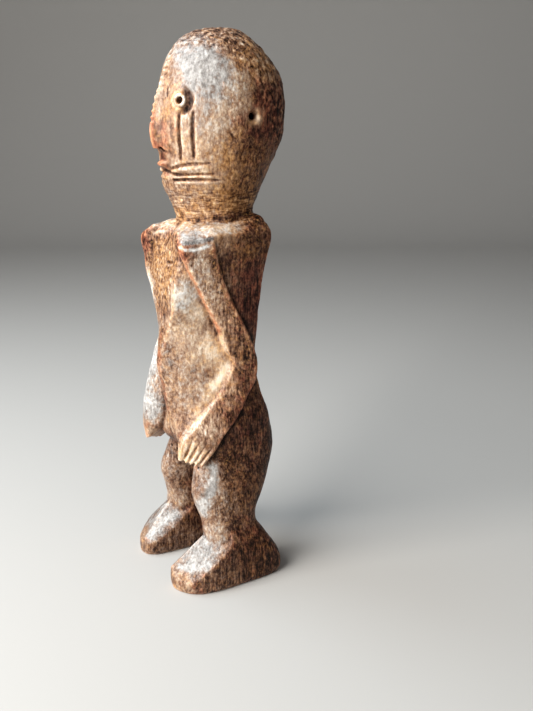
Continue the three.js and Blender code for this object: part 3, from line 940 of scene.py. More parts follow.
@dataclass
class Face:
    """The carving of the face: eyes, ears, nose, lips and the cut lines."""

    head: Head
    eye_x: float = 22.3
    eye_z: float = 422.0
    # radius, depth below the skin: the bead's seat and the boss round it
    boss: Rows = (
        (0, 3.2), (2.6, 3), (3.4, 1), (4.5, 0.5), (5.6, -0.3), (6.8, -0.9), (7.9, -0.7), (9.6, 0),
    )
    # radius, depth of the crescent cut behind the boss
    crescent: Rows = (
        (4.3, 0), (5.5, 2.2), (7.6, 3.2), (10.3, 2.4), (12.8, 0),
    )
    # Where the crescent begins and is full, from 0 over the eye to 1 straight behind it
    crescent_turn: tuple[float, float] = (-0.1, 0.7)
    crescent_droop: float = 0.2
    eye_reach: float = 14.0
    eye_depth: float = 8.0
    ear_z: float = 410.0
    ear_bore: float = 2.8
    ear_rim: float = 6.2
    ear_depth: float = 15.0
    # How much the countersink narrows on its way in, and how that turns its gap into a distance
    ear_narrowing: float = 0.8
    ear_slant: float = 0.78
    ear_stand: float = 6.0
    ear_softness: float = 0.6
    nose_top: float = 457.0
    nose_tip: float = 397.0
    nose_base: float = 384.5
    nose_half: tuple[float, float] = (2.2, 14.0)
    nose_fillet: float = 4.0
    nose_stand: float = 9.6
    nose_tuck: float = 0.12
    nose_sunk: float = 3.0
    nose_root: float = 14.0
    # How soon the nose stands out and how late it widens, and the power and hollow of its sides
    nose_powers: tuple[float, float] = (0.8, 1.7)
    nose_sides: tuple[float, float] = (1.25, 0.25)
    # z, half width, half height and stand of each lip
    lips: Rows = ((372.5, 9.0, 3.8, 4.6), (361.5, 8.0, 3.6, 1.6))
    lip_sunk: float = 4.0
    lip_fillet: float = 1.5
    # half width, z, sag, half height and depth of the slit between them
    mouth: Row = (9.0, 367.2, 0.004, 1.3, 1.6)
    nostril: tuple[float, float] = (4.2, 384.0)
    # x and z of three points of each line, from its upper or inner end
    tear_lines: Rows = (
        (22.4, 413.5, 21.3, 393.75, 20.2, 374), (31.6, 414.5, 30.4, 395.25, 29.2, 376),
    )
    cheek_lines: Rows = (
        (10, 368.5, 21, 371.5, 36, 373.5), (3, 367, 14, 364, 36, 365), (12, 359.5, 22, 360.3, 37, 360),
    )
    cheek_ridges: Rows = (
        (10, 366.2, 20, 368, 34, 369.8), (10, 361.6, 20, 362.2, 36, 362.6), (13, 357.4, 22, 357.6, 36, 357.4),
    )
    brow_lines: Rows = ((8, 434, 9.4, 428.5, 10.6, 423.5),)
    tear_stroke: Stroke = Stroke(0.3, 0.08, 0.5, 1.3, 3.2, skew=0.95)
    cheek_stroke: Stroke = Stroke(0.5, 0.15, 0.9, 1.0, 2.0, bluntness=0.6)
    ridge_stroke: Stroke = Stroke(0.2, 0.1, 0.8, 0.9, -0.9, bluntness=0.7)
    brow_stroke: Stroke = Stroke(0.3, 0.3, 0.5, 0.7, 1.0, shape=Cut.VEE)
    line_steps: int = 14
    brow_steps: int = 9
    notch_span: tuple[float, float] = (407.0, 462.0)
    notch_seed: int = 41
    notch_end: tuple[float, float] = (4.5, 4.0)
    notch_depth: tuple[float, float] = (1.3, 2.4)
    notch_gap: tuple[float, float] = (4.2, 6.6)

    def add_nose(self, block: Block) -> None:
        """Join the nose, which grows from a thin ridge on the forehead into broad wings."""
        out, flare = self.nose_powers
        power, hollow = self.nose_sides
        z = np.linspace(self.nose_base, self.nose_top, 60)
        down = np.clip((self.nose_top - z) / (self.nose_top - self.nose_tip), 0.0, 1.0)
        tuck = np.maximum(self.nose_tip - z, 0.0) * self.nose_tuck
        skin = np.array([self.head.face_point(0.0, height)[1] for height in z])
        stand = self.nose_stand * down**out - tuck
        shares = np.array([0.0, 0.1, 0.3, 0.55, 0.8, 1.0])
        half = self.nose_half[0] + (self.nose_half[1] - self.nose_half[0]) * down**flare
        run = half[:, None] * shares
        rise = (stand[:, None] + self.nose_sunk) * (1.0 - shares) ** power * (1.0 - hollow * shares)
        right = np.stack([run, skin[:, None] + self.nose_sunk - rise, z[:, None] + 0.0 * run], axis=-1)
        left = right[:, :0:-1] * [-1.0, 1.0, 1.0]
        roots = np.stack([
            np.stack([half * way, skin + self.nose_root, z], axis=-1) for way in (1.0, -1.0)
        ], axis=1)
        rings = np.concatenate([left, right, roots], axis=1)
        block.join(block.distances(Shell.loft(rings)), self.nose_fillet)

    def add_lips(self, block: Block) -> None:
        """Join the two short rolls of the lips."""
        for z, half, high, stand in self.lips:
            middle = self.head.face_point(0.0, z) + [0.0, self.lip_sunk, 0.0]
            sizes = np.array([half, stand + self.lip_sunk, high])
            window, x, y, height = block.around(middle, sizes + FAR)
            away = np.sqrt((x / sizes[0]) ** 2 + (y / sizes[1]) ** 2 + (height / sizes[2]) ** 2)
            block.depth[window] = blend_low(block.depth[window], (away - 1.0) * high, self.lip_fillet)

    def cut_ear(self, block: Block, side: Side) -> None:
        """Drill the ear's hole and countersink its rim."""
        spot = self.head.side_point(EAR_Y, self.ear_z, side)
        window, x, y, z = block.around(spot, np.array([self.ear_depth, FAR, FAR]))
        radius = np.sqrt(y**2 + z**2)
        inside = -x * side.value
        bore = np.maximum(radius - self.ear_bore, inside - self.ear_depth)
        sink = (radius - self.ear_rim + np.maximum(inside, 0.0) * self.ear_narrowing) * self.ear_slant
        waste = np.maximum(np.minimum(bore, sink), -inside - self.ear_stand)
        block.cut(waste, window, self.ear_softness)

    def cut_eye(self, block: Block, side: Side) -> None:
        """Press the round socket, leaving a boss with a seat for the bead."""
        spot = self.head.face_point(self.eye_x * side.value, self.eye_z)
        out = self.head.face_normal(self.eye_x * side.value, self.eye_z)
        window, x, y, z = block.around(spot, self.eye_reach)
        along = x * out[0] + y * out[1] + z * out[2]
        radius = np.sqrt(np.maximum(x**2 + y**2 + z**2 - along**2, 0.0))
        rear = np.cross([0.0, 0.0, side.value], out)
        rear /= np.linalg.norm(rear)
        turned = (x * rear[0] + y * rear[1] - self.crescent_droop * z) / np.maximum(radius, 0.5)
        behind = smooth_step(*self.crescent_turn, turned)
        boss, crescent = np.array(self.boss), np.array(self.crescent)
        pressed = np.interp(radius, boss[:, 0], boss[:, 1])
        pressed = np.maximum(pressed, 0.0) + np.minimum(pressed, 0.0) * (1.0 - behind)
        pressed += np.interp(radius, crescent[:, 0], crescent[:, 1]) * behind
        block.depth[window] += np.where(along > -self.eye_depth, pressed, 0.0).astype(np.float32)

    def line(self, numbers: Row | Array, side: Side, steps: int) -> Array:
        """A smooth line on the face through points given as x and z in turn."""
        course = Course.along(np.reshape(numbers, (-1, 2)), measured=2)
        spots = course.at(course.places(course.length / steps))
        return np.array([self.head.face_point(x * side.value, z) for x, z in spots])

    def cut_lines(self, block: Block, side: Side) -> None:
        """Cut the tear lines and the cheek lines, and raise the ridges between them."""
        for stroke, table in (
            (self.tear_stroke, self.tear_lines),
            (self.cheek_stroke, self.cheek_lines),
            (self.ridge_stroke, self.cheek_ridges),
        ):
            for numbers in table:
                stroke.press(block, self.line(numbers, side, self.line_steps))

    def cut_mouth(self, block: Block) -> None:
        """Cut the slit between the lips, the nostrils, and the nick beside each side of the ridge."""
        half, middle, sag, high, deep = self.mouth
        xs = np.linspace(-half, half, 13)
        path = np.array([self.head.face_point(x, middle - sag * x * x) for x in xs])
        block.engrave(path, np.full(len(xs), high), np.full(len(xs), deep), Cut.VEE)
        for x in (-self.nostril[0], self.nostril[0]):
            spot = self.head.face_point(x, self.nostril[1])
            path = np.array([spot + [0.0, -3.2, 1.2], spot, spot + [x * 0.3, 0.4, -0.6]])
            block.engrave(path, np.array([1.4, 2.1, 1.0]), np.array([1.6, 2.8, 0.6]), Cut.ROUND)
        for side in Side:
            for numbers in self.brow_lines:
                self.brow_stroke.press(block, self.line(numbers, side, self.brow_steps))

    def cut_notches(self, block: Block) -> None:
        """Cut the row of small notches across the forehead's ridge."""
        low, high = self.notch_span
        draw = np.random.default_rng(self.notch_seed)
        z = low
        while z < high:
            crest = block.front_point(0.0, z)
            tilt, deep = draw.uniform(-1.0, 1.0), draw.uniform(*self.notch_depth)
            end = np.array([*self.notch_end, tilt])
            path = np.array([crest + end * [-1.0, 1.0, -1.0], crest, crest + end])
            block.engrave(path, np.full(3, 0.75 * deep), np.array([0.2, deep, 0.2]), Cut.VEE)
            z += draw.uniform(*self.notch_gap)

    def carve(self, block: Block) -> None:
        """Do all the carving of the face."""
        self.add_nose(block)
        self.add_lips(block)
        for side in Side:
            self.cut_eye(block, side)
            self.cut_ear(block, side)
            self.cut_lines(block, side)
        self.cut_mouth(block)
        self.cut_notches(block)


def new_object(name: str, data: bpy.types.ID) -> SceneObject:
    """Make an object of some data and put it into the scene."""
    made = bpy.data.objects.new(name, data)
    bpy.context.scene.collection.objects.link(made)
    return made


def apply_modifiers(piece: SceneObject) -> None:
    """Turn a piece with its modifiers into one plain mesh."""
    shaped = piece.evaluated_get(bpy.context.evaluated_depsgraph_get())
    mesh = bpy.data.meshes.new_from_object(shaped)
    piece.modifiers.clear()
    old = piece.data
    piece.data = mesh
    bpy.data.meshes.remove(old)


@dataclass
class Figure:
    """The whole carving, from the joined block to the finished mesh."""

    step: float = 0.8
    triangle_limit: int = 190_000
    head: Head = field(default_factory=Head)
    trunk: Trunk = field(default_factory=Trunk)
    arms: tuple[Arm, ...] = field(default_factory=lambda: (Arm.bent(), Arm.straighter()))
    legs: tuple[Leg, ...] = field(default_factory=lambda: (Leg(Side.LEFT), Leg(Side.RIGHT)))
    # The box that holds the whole block, and the room round it
    low: Point = (-67.0, -60.0, 0.0)
    high: Point = (67.0, 74.0, 480.0)
    margin: float = 6.0
    hip_fillet: float = 8.0
    ankle_fillet: float = 1.6
    joint_fillet: float = 1.6
    neck_fillet: float = 5.0
    edge_wear: float = 0.55
    # Up to where the skin is cut level with the floor
    floor_reach: float = 4.0
    # x and z of the small pit high on the chest, its half length and half width, and its depth
    pit: Row = (13.9, 292.0, 2.6, 2.9, 2.4)
    pit_tilt: float = 0.3
    # y and z of the rough cap's border, from the brow over the crown to behind the ear
    cap_border: Rows = (
        (-30, 468), (-21, 464.5), (-12, 462), (-3, 458.5), (4, 456), (17, 450),
        (28, 438), (37, 419), (46, 398), (60, 372), (80, 352),
    )
    cap_ragged: Mottle = Mottle((6.0, 6.0, 6.0), 31, 3, height=3.0)
    cap_low: float = 340.0
    cap_softness: float = 6.0
    cap_height: float = 0.7
    # The broad swells, the knife's dishes, the roughness and the fibres of the skin
    swells: Mottle = Mottle((17.0, 17.0, 26.0), 5, 2, height=0.5)
    marks: KnifeMarks = KnifeMarks((10.0, 10.0, 15.0), 8, height=0.55, floor=0.2)
    rough: Mottle = Mottle((3.4, 3.4, 4.6), 12, 2)
    rough_height: float = 0.1
    rough_on_cap: float = 0.42
    fine: Mottle = Mottle((1.9, 1.9, 6.0), 21, 1, height=0.09)
    neck_rings: Mottle = Mottle((7.0, 7.0, 2.0), 27, 1)
    neck_ring_height: float = 0.3

    def block(self) -> Block:
        """Join and cut the whole figure.

        Returns:
            The carved block.
        """
        low, high = np.array(self.low) - self.margin, np.array(self.high) + self.margin
        block = Block(low, high, self.step)
        block.depth = block.distances(self.trunk.shell())
        for leg in self.legs:
            block.join(block.distances(leg.shell()), self.hip_fillet)
        for leg in self.legs:
            block.join(self.foot(block, leg), self.ankle_fillet)
        for arm in self.arms:
            block.join(block.distances(arm.shell()), self.joint_fillet)
        block.join(block.distances(self.head.shell()), self.neck_fillet)
        Face(self.head).carve(block)
        for arm in self.arms:
            self.cut_digits(block, arm)
        self.cut_pit(block)
        block.depth = block.blurred(self.edge_wear)
        window = block.window(low, np.array([high[0], high[1], self.floor_reach]))
        block.depth[window] = np.maximum(block.depth[window], -block.axis(2, window))
        return block

    def foot(self, block: Block, leg: Leg) -> Array:
        """Distances to a foot with its instep cut to flat facets."""
        values = block.distances(leg.foot_shell())
        x = block.axis(0) * leg.side.value
        y, z = block.axis(1), block.axis(2)
        waste = np.float32(BEYOND)
        for place, direction in leg.facets:
            out = np.array(direction) / np.linalg.norm(direction)
            above = (x - place[0]) * out[0] + (y - place[1]) * out[1] + (z - place[2]) * out[2]
            waste = np.minimum(waste, -above.astype(np.float32))
        waste = -blend_low(-waste, -(y - leg.instep_end).astype(np.float32), leg.instep_fade)
        return -blend_low(-values, waste, leg.facet_softness)

    def cut_digits(self, block: Block, arm: Arm) -> None:
        """Cut the grooves between the digits of a hand."""
        for low, high, out in arm.digit_lines():
            spots = low + (high - low) * np.linspace(0.0, 1.0, 9)[:, None]
            path = np.array([block.skin_point(spot + 8.0 * out, -out) for spot in spots])
            taper = np.linspace(1.0, arm.digit_taper, len(path))
            widths = arm.digit_width[0] + arm.digit_width[1] * taper
            block.engrave(path, widths, arm.digit_depth * taper, Cut.VEE)

    def cut_pit(self, block: Block) -> None:
        """Press the small pit high on the chest."""
        x, z, half, width, depth = self.pit
        end = np.array([half, 0.0, self.pit_tilt])
        path = block.front_point(x, z) + np.array([-end, end])
        block.engrave(path, np.full(2, width), np.full(2, depth), Cut.VEE)

    def cap(self, points: Array) -> Array:
        """How far points lie over the border of the rough cap, about from -1 to 1."""
        border = np.array(self.cap_border)
        height = np.interp(points[:, 1], border[:, 0], border[:, 1])
        over = (points[:, 2] - height + self.cap_ragged.at(points)) / self.cap_softness
        return np.where(points[:, 2] > self.cap_low, over, -1.0)

    def relief(self, points: Array) -> Array:
        """How far the tools and the years moved the skin in or out.

        Args:
            points: Points of the skin.

        Returns:
            Outward moves.
        """
        y, z = points[:, 1], points[:, 2]
        on_face = smooth_step(325.0, 345.0, z) * smooth_step(5.0, -15.0, y)
        on_neck = smooth_step(318.0, 328.0, z) * smooth_step(358.0, 346.0, z)
        on_foot = smooth_step(50.0, 38.0, z)
        over_floor = smooth_step(0.0, 5.0, z)
        over_cap = smooth_step(-0.1, 0.25, np.clip(self.cap(points), -1.0, 1.0))
        moves = self.swells.at(points) * (1.0 - 0.5 * on_face)
        moves = (moves + self.marks.at(points) * (1.0 - 0.75 * on_face)) * (1.0 - 0.6 * on_foot)
        moves += on_neck * self.neck_rings.at(points) * self.neck_ring_height
        moves += self.rough.at(points) * (self.rough_height + self.rough_on_cap * over_cap)
        moves += self.fine.at(points) + over_cap * self.cap_height
        return moves * over_floor

    def mesh(self) -> tuple[SceneObject, Block]:
        """Carve the figure and make its object.

        Returns:
            The object and the block that it was made from.
        """
        block = self.block()
        points, triangles, quads = block.surface()
        points = points.astype(float)
        points += block.outward(points) * self.relief(points)[:, None]
        points[:, 2] = np.maximum(points[:, 2], 0.0)
        points[:, 1] += BLOCK_TO_FRAME_Y
        faces = [tuple(int(i) for i in face) for face in quads]
        faces += [tuple(int(i) for i in face) for face in triangles]
        mesh = bpy.data.meshes.new("carved_figure")
        mesh.from_pydata((points * MM).tolist(), [], faces)
        mesh.validate()
        piece = new_object("carved_figure", mesh)
        self.thin(piece, 2 * len(quads) + len(triangles))
        return piece, block

    def thin(self, piece: SceneObject, triangles: int) -> None:
        """Bring the mesh under its limit of triangles.

        Args:
            piece: The object.
            triangles: How many triangles it has now.
        """
        if triangles > self.triangle_limit:
            thinner = piece.modifiers.new("thin", "DECIMATE")
            thinner.ratio = self.triangle_limit / triangles
            thinner.use_collapse_triangulate = True
            apply_modifiers(piece)
            piece.data.name = "carved_figure"
        piece.data.shade_smooth()


@dataclass
class PatinaAndPaintedLight:
    """How pale, golden, red or grey the wood is, and how flecked and grained, from place to place, with
    painted highlights, sheen and shade among its zones and lines.
    """

    figure: Figure
    names: tuple[str, ...] = ("tone", "gold", "red", "grey", "fleck", "grain")
    elsewhere: Row = (0.32, 0.2, 0.35, 0.1, 0.7, 0.4)
    elsewhere_weight: float = 0.03
    # Grey in all these zones and lines paints sheen and highlights as well as grey rubbed wood
    head: Rows = (
        # x, y, z, reach, tone, gold, red, grey, fleck, grain
        (16, 14, 472, 18, 0.39, 0.25, 0.1, 0.15, 1, 0),
        (16, -16, 464, 11, 0.56, 0.1, 0, 0.5, 0.7, 0),
        # Painted sheen: the strong grey of the forehead and the temple
        (26, -20, 449, 13, 0.6, 0, 0, 1.25, 0.3, 0),
        (38, -2, 432, 14, 0.58, 0, 0, 0.9, 0.5, 0),
        (38, 30, 452, 16, 0.57, 0.5, 0.2, 0, 1.1, 0),
        (7, -34, 436, 15, 0.64, 0.35, 0, 0.2, 0.5, 0),
        (19, -33, 422, 9, 0.76, 0.7, 0, 0, 0.3, 0),
        (36, -14, 408, 14, 0.73, 0.2, 0, 0.4, 0.4, 0),
        (32, -18, 384, 14, 0.72, 0.35, 0, 0.2, 0.5, 0),
        (45, 3, 418, 11, 0.8, 0.1, 0.3, 0.1, 0.9, 0),
        (45, 11, 427, 11, 0.78, 0.3, 0.1, 0.15, 1, 0),
        (46, 24, 410, 6, 0.74, 0.5, 0.1, 0, 0.4, 0),
        (43, 36, 410, 18, 0.28, 0.25, 0.7, 0, 0.7, 0.3),
        (40, 30, 374, 16, 0.35, 0.6, 0.35, 0, 0.9, 0.1),
        (45, 8, 396, 5, 0.4, 0.5, 0.2, 0, 1, 0),
        (44, 30, 428, 9, 0.28, 0.3, 0.6, 0, 0.9, 0),
        (38, 22, 456, 6, 0.42, 0.5, 0.2, 0, 1, 0),
        (42, 6, 378, 14, 0.53, 0.6, 0.1, 0, 0.9, 0),
        (43, 12, 386, 5, 0.3, 0.3, 0.3, 0, 0.6, 0.1),
        (8, -43, 394, 9, 0.58, 0.35, 0.45, 0, 0.4, 0.2),
        (4, -40, 372, 6, 0.42, 0.4, 0.6, 0, 0.4, 0),
        (13, -35, 371, 5, 0.76, 0.3, 0.1, 0, 0.4, 0),
        (35, -8, 362, 9, 0.76, 0.45, 0, 0.1, 0.4, 0),
        (12, -32, 350, 13, 0.57, 0.35, 0, 0.2, 0.7, 0),
        (28, -14, 333, 12, 0.52, 0.6, 0, 0.05, 1, 0),
        (11, -23, 331, 8, 0.7, 0.6, 0, 0, 0.7, 0),
        (33, 16, 338, 14, 0.44, 1, 0.1, 0, 1, 0),
        (0, 70, 410, 30, 0.3, 0.35, 0.5, 0, 0.6, 0.4),
    )
    trunk: Rows = (
        (34, -8, 325, 14, 0.64, 0.4, 0, 0.15, 0.5, 0),
        (38, 28, 320, 13, 0.24, 0.3, 0.3, 0, 1.1, 0),
        (37, -41, 300, 8, 0.24, 0.2, 0.7, 0, 0.7, 1),
        (10, -42, 282, 16, 0.56, 0.5, 0, 0.1, 1.1, 0.1),
        # The flank beside the left arm is made near white, painted light over the shade the arm casts on it,
        # with grey for painted sheen at its top
        (28, -36, 267, 10, 1, 0.05, 0, 0.65, 0.4, 0.1),
        (22, -30, 226, 14, 0.78, 0.25, 0, 0.2, 0.5, 0.1),
        (28, -20, 250, 8, 1, 0.35, 0.05, 0.15, 0.4, 0.1),
        (28, -5, 216, 11, 1.05, 0.4, 0.05, 0.1, 0.3, 0.1),
        (6, -46, 215, 13, 0.54, 0.3, 0.1, 0.35, 0.8, 0.1),
        (20, -32, 182, 14, 0.64, 0.3, 0, 0.35, 0.6, 0.2),
        (7, -43, 182, 10, 0.5, 0.3, 0.1, 0.2, 0.8, 0.1),
        (6, -38, 144, 7, 0.66, 0.3, 0.1, 0.1, 0.6, 0.1),
        (44, 20, 302, 10, 0.38, 0.7, 0.2, 0, 0.8, 0.4),
        (42, 28, 280, 11, 0.24, 0.25, 0.7, 0, 0.6, 0.6),
        (41, 22, 250, 16, 0.17, 0.2, 0.8, 0, 0.45, 0.6),
        (0, 40, 270, 40, 0.28, 0.35, 0.5, 0, 0.5, 0.6),
        (40, 26, 150, 20, 0.2, 0.4, 0.4, 0, 0.5, 0.5),
        (0, 40, 150, 36, 0.22, 0.4, 0.4, 0, 0.6, 0.5),
    )
    arms: Rows = (
        (39, -28, 314, 7, 0.46, 0.2, 0.1, 0.5, 0.5, 0.1),
        (42, -27, 293, 10, 0.72, 0.1, 0, 0.3, 0.7, 0.9),
        (43, -12, 270, 11, 0.6, 0.25, 0, 0.3, 0.9, 0.9),
        (42, 2, 243, 13, 0.54, 0.25, 0.05, 0.1, 0.8, 0.9),
        (40, 8, 216, 13, 0.38, 0.4, 0.2, 0, 0.7, 0.9),
        (43, 25, 205, 9, 0.3, 0.4, 0.4, 0, 1, 0.9),
        (40, 0, 176, 10, 0.6, 0.35, 0.3, 0, 0.5, 1),
        (39, -20, 150, 10, 0.62, 0.2, 0.1, 0.15, 0.5, 1),
        (37, -38, 125, 9, 0.78, 0.4, 0.05, 0, 0.4, 0.4),
    )
    far_arm: Rows = (
        # The right forearm's pale grey: painted sheen where the light falls on it
        (-28, -46, 196, 16, 0.76, 0, 0, 1.1, 0.6, 0.4),
        (-30, -48, 160, 14, 0.74, 0, 0.05, 0.95, 0.7, 0.4),
        (-34, -50, 128, 11, 0.66, 0.3, 0.25, 0, 0.5, 0.3),
    )
    legs: Rows = (
        (46, 14, 118, 16, 0.21, 0.4, 0.4, 0, 0.6, 0.5),
        (46, 0, 108, 12, 0.28, 0.35, 0.1, 0.1, 1, 0.3),
        # Grey on the knee, shin and instep zones below: painted sheen
        (34, -32, 98, 9, 0.56, 0.15, 0.05, 0.35, 0.8, 0.1),
        (49, -17, 88, 7, 0.6, 0.2, 0, 0.3, 0.8, 0.1),
        (41, -31, 74, 8, 0.66, 0.2, 0, 0.35, 0.7, 0.1),
        (51, -22, 49, 8, 0.74, 0.15, 0, 0.4, 0.7, 0.1),
        (-27, -24, 54, 9, 0.64, 0.2, 0, 0.3, 0.7, 0.1),
        (49, -12, 76, 11, 0.46, 0.25, 0, 0.3, 1, 0.2),
        (50, 14, 82, 14, 0.28, 0.5, 0.2, 0.05, 0.8, 0.4),
        (18, -28, 88, 10, 0.54, 0.15, 0, 0.3, 0.8, 0.2),
        (46, -34, 32, 11, 0.56, 0.1, 0, 0.8, 0.5, 0.1),
        (30, -40, 30, 11, 0.5, 0.15, 0, 0.5, 0.6, 0.2),
        (42, -56, 12, 9, 0.52, 0.35, 0.1, 0, 0.7, 0.5),
        (64, -22, 16, 12, 0.28, 0.4, 0.1, 0.15, 0.6, 0.9),
        (66, 18, 20, 16, 0.16, 0.6, 0.3, 0, 0.5, 0.9),
        (20, -30, 12, 14, 0.3, 0.3, 0, 0.2, 0.6, 0.8),
        (30, 40, 60, 34, 0.26, 0.4, 0.4, 0, 0.55, 0.6),
    )
    lines: tuple[Trail, ...] = (
        # The rear of the left upper arm, the bevel in front of it, and the pale bevel of its forearm
        Trail(((46.9, -15.8, 303), (45.6, -9.9, 283.5), (44.2, -1, 260.6), (43.3, 10.6, 237.5),
               (43.3, 20.9, 218)), 4, (0.4, 0.4, 0.35, 0, 1.2, 0.8)),
        Trail(((34.8, -41.3, 307), (35.4, -34.5, 290), (34, -24.7, 271), (33, -15.9, 254),
               (32.7, -8.7, 239), (33.6, -3, 226)), 2.2, (0.68, 0.4, 0.8, 0, 0.3, 0.2)),
        Trail(((33.6, -3, 226), (34.2, 0, 216), (34.6, 4, 206)), 2.4, (0.9, 0.5, 0.1, 0, 0.3, 0.2)),
        Trail(((33, 2, 199), (30.5, -6.3, 185.5), (29.8, -11.9, 176)),
              5.6, (1.16, 0.35, 0, 0.05, 0.2, 0)),
        Trail(((29.8, -11.9, 176), (29, -18, 166), (28.3, -24.5, 157), (29.5, -31.5, 148)),
              5.4, (0.76, 0.45, 0, 0.1, 0.5, 0)),
        # The keel of the belly, and the left edge of the chest's flat front
        Trail(((0, -45, 230), (0, -49, 200), (0, -45, 176), (0, -41, 155)),
              4.2, (0.44, 0.3, 0.6, 0, 1.1, 0.2)),
        Trail(((25, -42.5, 284), (24.5, -42.8, 266), (18, -42, 248), (10, -43, 232), (6, -46.2, 214)),
              1, (0.6, 0.4, 0.2, 0.1, 0.8, 0)),
        # The front corner of the right shoulder
        Trail(((-37.5, -44, 311), (-37, -43, 292), (-36, -42.5, 277)),
              2.2, (0.54, 0.2, 0.8, 0, 0.5, 0.4)),
        # Painted highlight along the rim of the left shoulder facet, and a painted shade line over it
        Trail(((33.8, -42.9, 308.2), (39.5, -37.8, 305.6), (42.9, -30.3, 305.4), (45.5, -20.1, 308.4)),
              1.4, (1, 0.1, 0, 0.9, 0.1, 0)),
        Trail(((36.5, -38.5, 310.8), (42, -25.2, 312.1), (45, -15.7, 314.2)),
              1.6, (0.3, 0, 0, 0.9, 0.5, 0)),
        # Painted highlight along the front rim of the shoulders, and the shadowed crease at the side of the
        # neck
        Trail(((-27.2, -39.6, 311.5), (-13.8, -36, 315), (7.6, -30, 319)),
              1.4, (0.92, 0.1, 0, 0.4, 0.2, 0)),
        Trail(((29, -4, 328.5), (33, 8, 330), (33, 34, 329)), 3.2, (0.2, 0.4, 0.3, 0, 0.9, 0)),
        # The crest of the nose
        Trail(((0, -43.5, 418), (0, -46.7, 402.6), (0.4, -46.6, 391.1), (0.6, -44, 386)),
              2.4, (0.5, 0.6, 0.8, 0, 0.2, 0.1)),
        # Painted sheen on the front of the left knee and along the edges of the insteps
        Trail(((42.9, -17.8, 111), (45.6, -19.4, 102), (47, -22.6, 92), (45.7, -28.2, 83),
               (41, -30.7, 72)), 5.5, (0.72, 0, 0, 0.95, 0.4, 0.1)),
        Trail(((39, -51.3, 19.6), (50, -44, 23), (59, -33, 28)), 3.6, (0.68, 0, 0, 0.9, 0.4, 0.1)),
        Trail(((-29, -53, 18), (-30, -38.7, 28.5), (-27.2, -25.4, 36.3)),
              4, (0.68, 0, 0, 0.9, 0.4, 0.1)),
        # The top of the lower lip
        Trail(((-7, -38.5, 365.2), (0, -40.5, 365.2), (7, -38.5, 365.2)),
              2.6, (0.42, 0.4, 0.5, 0, 0.4, 0)),
        # The dark side of the right instep
        Trail(((-51, -38, 29), (-50, -24, 38)), 4.5, (0.22, 0.2, 0.1, 0.4, 0.9, 0.2)),
    )
    # Darker along the cut lines and folds, paler on the raised ridges and the ear's rim
    cut_dark: Row = (0.2, 0.2, 0.4, 0.0, 0.4, 0.0)
    fold_dark: Row = (0.34, 0.2, 0.3, 0.2, 0.4, 0.0)
    ridge_pale: Row = (0.66, 0.3, 0.0, 0.3, 0.5, 0.0)
    ear_rim_pale: Row = (1.0, 0.5, 0.0, 0.0, 0.3, 0.0)
    # Painted shade down the ear's bore, in the bead's hole and in the crescent behind the eye
    ear_bore_shade: Row = (0.06, 0.1, 0.3, 0.0, 0.6, 0.0)
    bead_hole_shade: Row = (0.3, 0.3, 0.3, 0.0, 1.2, 0.0)
    recess_shade: Row = (0.12, 0.1, 0.1, 0.3, 0.8, 0.6)
    tear_reach: float = 1.3
    # How much shorter than its cut a tear line's darker trail is, as x and z of its three points
    tear_trim: Row = (0.0, -2.0, 0.0, 0.0, 0.0, 3.0)
    fold_reach: float = 0.9
    # How much paler and greyer faces that look up are made towards the front
    front_top_tone: float = 0.2
    front_top_grey: float = 0.35
    # How far the zones' edges wander, and over what distance
    drift: float = 2.5
    drift_cell: Point = (9.0, 9.0, 9.0)
    drift_seeds: tuple[int, ...] = (61, 62, 63)
    # Over what distance edges and hollows are felt, and how strongly, less a threshold
    edge_reach: float = 1.6
    worn: tuple[float, float] = (2.4, 0.1)
    # The hollows' mask darkens them: painted shade and grime
    hollow: tuple[float, float] = (2.6, 0.08)

    def trails(self) -> list[Trail]:
        """All the lines laid over the zones, those of the face worked out from its carving."""
        face = Face(self.figure.head)
        tears = [np.array(numbers) + self.tear_trim for numbers in face.tear_lines]
        made = list(self.lines)
        for table, reach, wear_and_light in (
            (tears, self.tear_reach, self.cut_dark),
            (face.cheek_lines, self.fold_reach, self.fold_dark),
            (face.cheek_ridges, self.fold_reach, self.ridge_pale),
        ):
            for numbers in table:
                path = tuple(map(tuple, face.line(numbers, Side.LEFT, 8)))
                made.append(Trail(path, reach, wear_and_light))
        spot = face.head.face_point(face.eye_x, face.eye_z)
        out = face.head.face_normal(face.eye_x, face.eye_z)
        seat = (tuple(spot - 2.0 * out), tuple(spot - 4.5 * out))
        rim_y, rim_z = EAR_Y + 2.4, face.ear_z - 1.2
        made += [
            # Painted shade in the crescent behind the eye, with its dark grain
            Trail(((27, -29, 429), (28.6, -26.6, 422), (27.6, -27.6, 415)), 3.8, self.recess_shade),
            # Painted shade in the bead's hole
            Trail(seat, 2.2, self.bead_hole_shade),
            # Paler rear wall of the ear's countersink
            Trail(((47, rim_y, rim_z), (42, rim_y, rim_z)), 5.4, self.ear_rim_pale),
            # Painted shade down the ear's bore
            Trail(((43, EAR_Y, face.ear_z), (32, EAR_Y, face.ear_z)), 2.7, self.ear_bore_shade),
            # Darker in the nostrils
            Trail(((3.2, -42, 384.6), (3.8, -38, 383.6)), 1.8, self.cut_dark),
            # Darker along the nick beside the brow
            Trail(((9, -34.5, 431), (10.4, -36, 424.5)), 0.9, self.fold_dark),
        ]
        return made + [trail.mirrored() for trail in made[len(self.lines):]]

    def zones(self) -> list[Zone]:
        """All the zones, those of the left side also mirrored to the right."""
        both = self.head + self.trunk + self.arms + self.legs
        mirrored = [(-row[0], *row[1:]) for row in both if row[0] > 0.0]
        kept = [row for row in mirrored if not self.on_far_forearm(row)]
        return [Zone(row[0:3], row[3], row[4:]) for row in (*both, *kept, *self.far_arm)]

    @staticmethod
    def on_far_forearm(row: Row) -> bool:
        """Whether a mirrored zone lies where the right forearm has its own zones."""
        return 120.0 < row[2] < 240.0 and row[1] < 0.0 and row[0] < -25.0

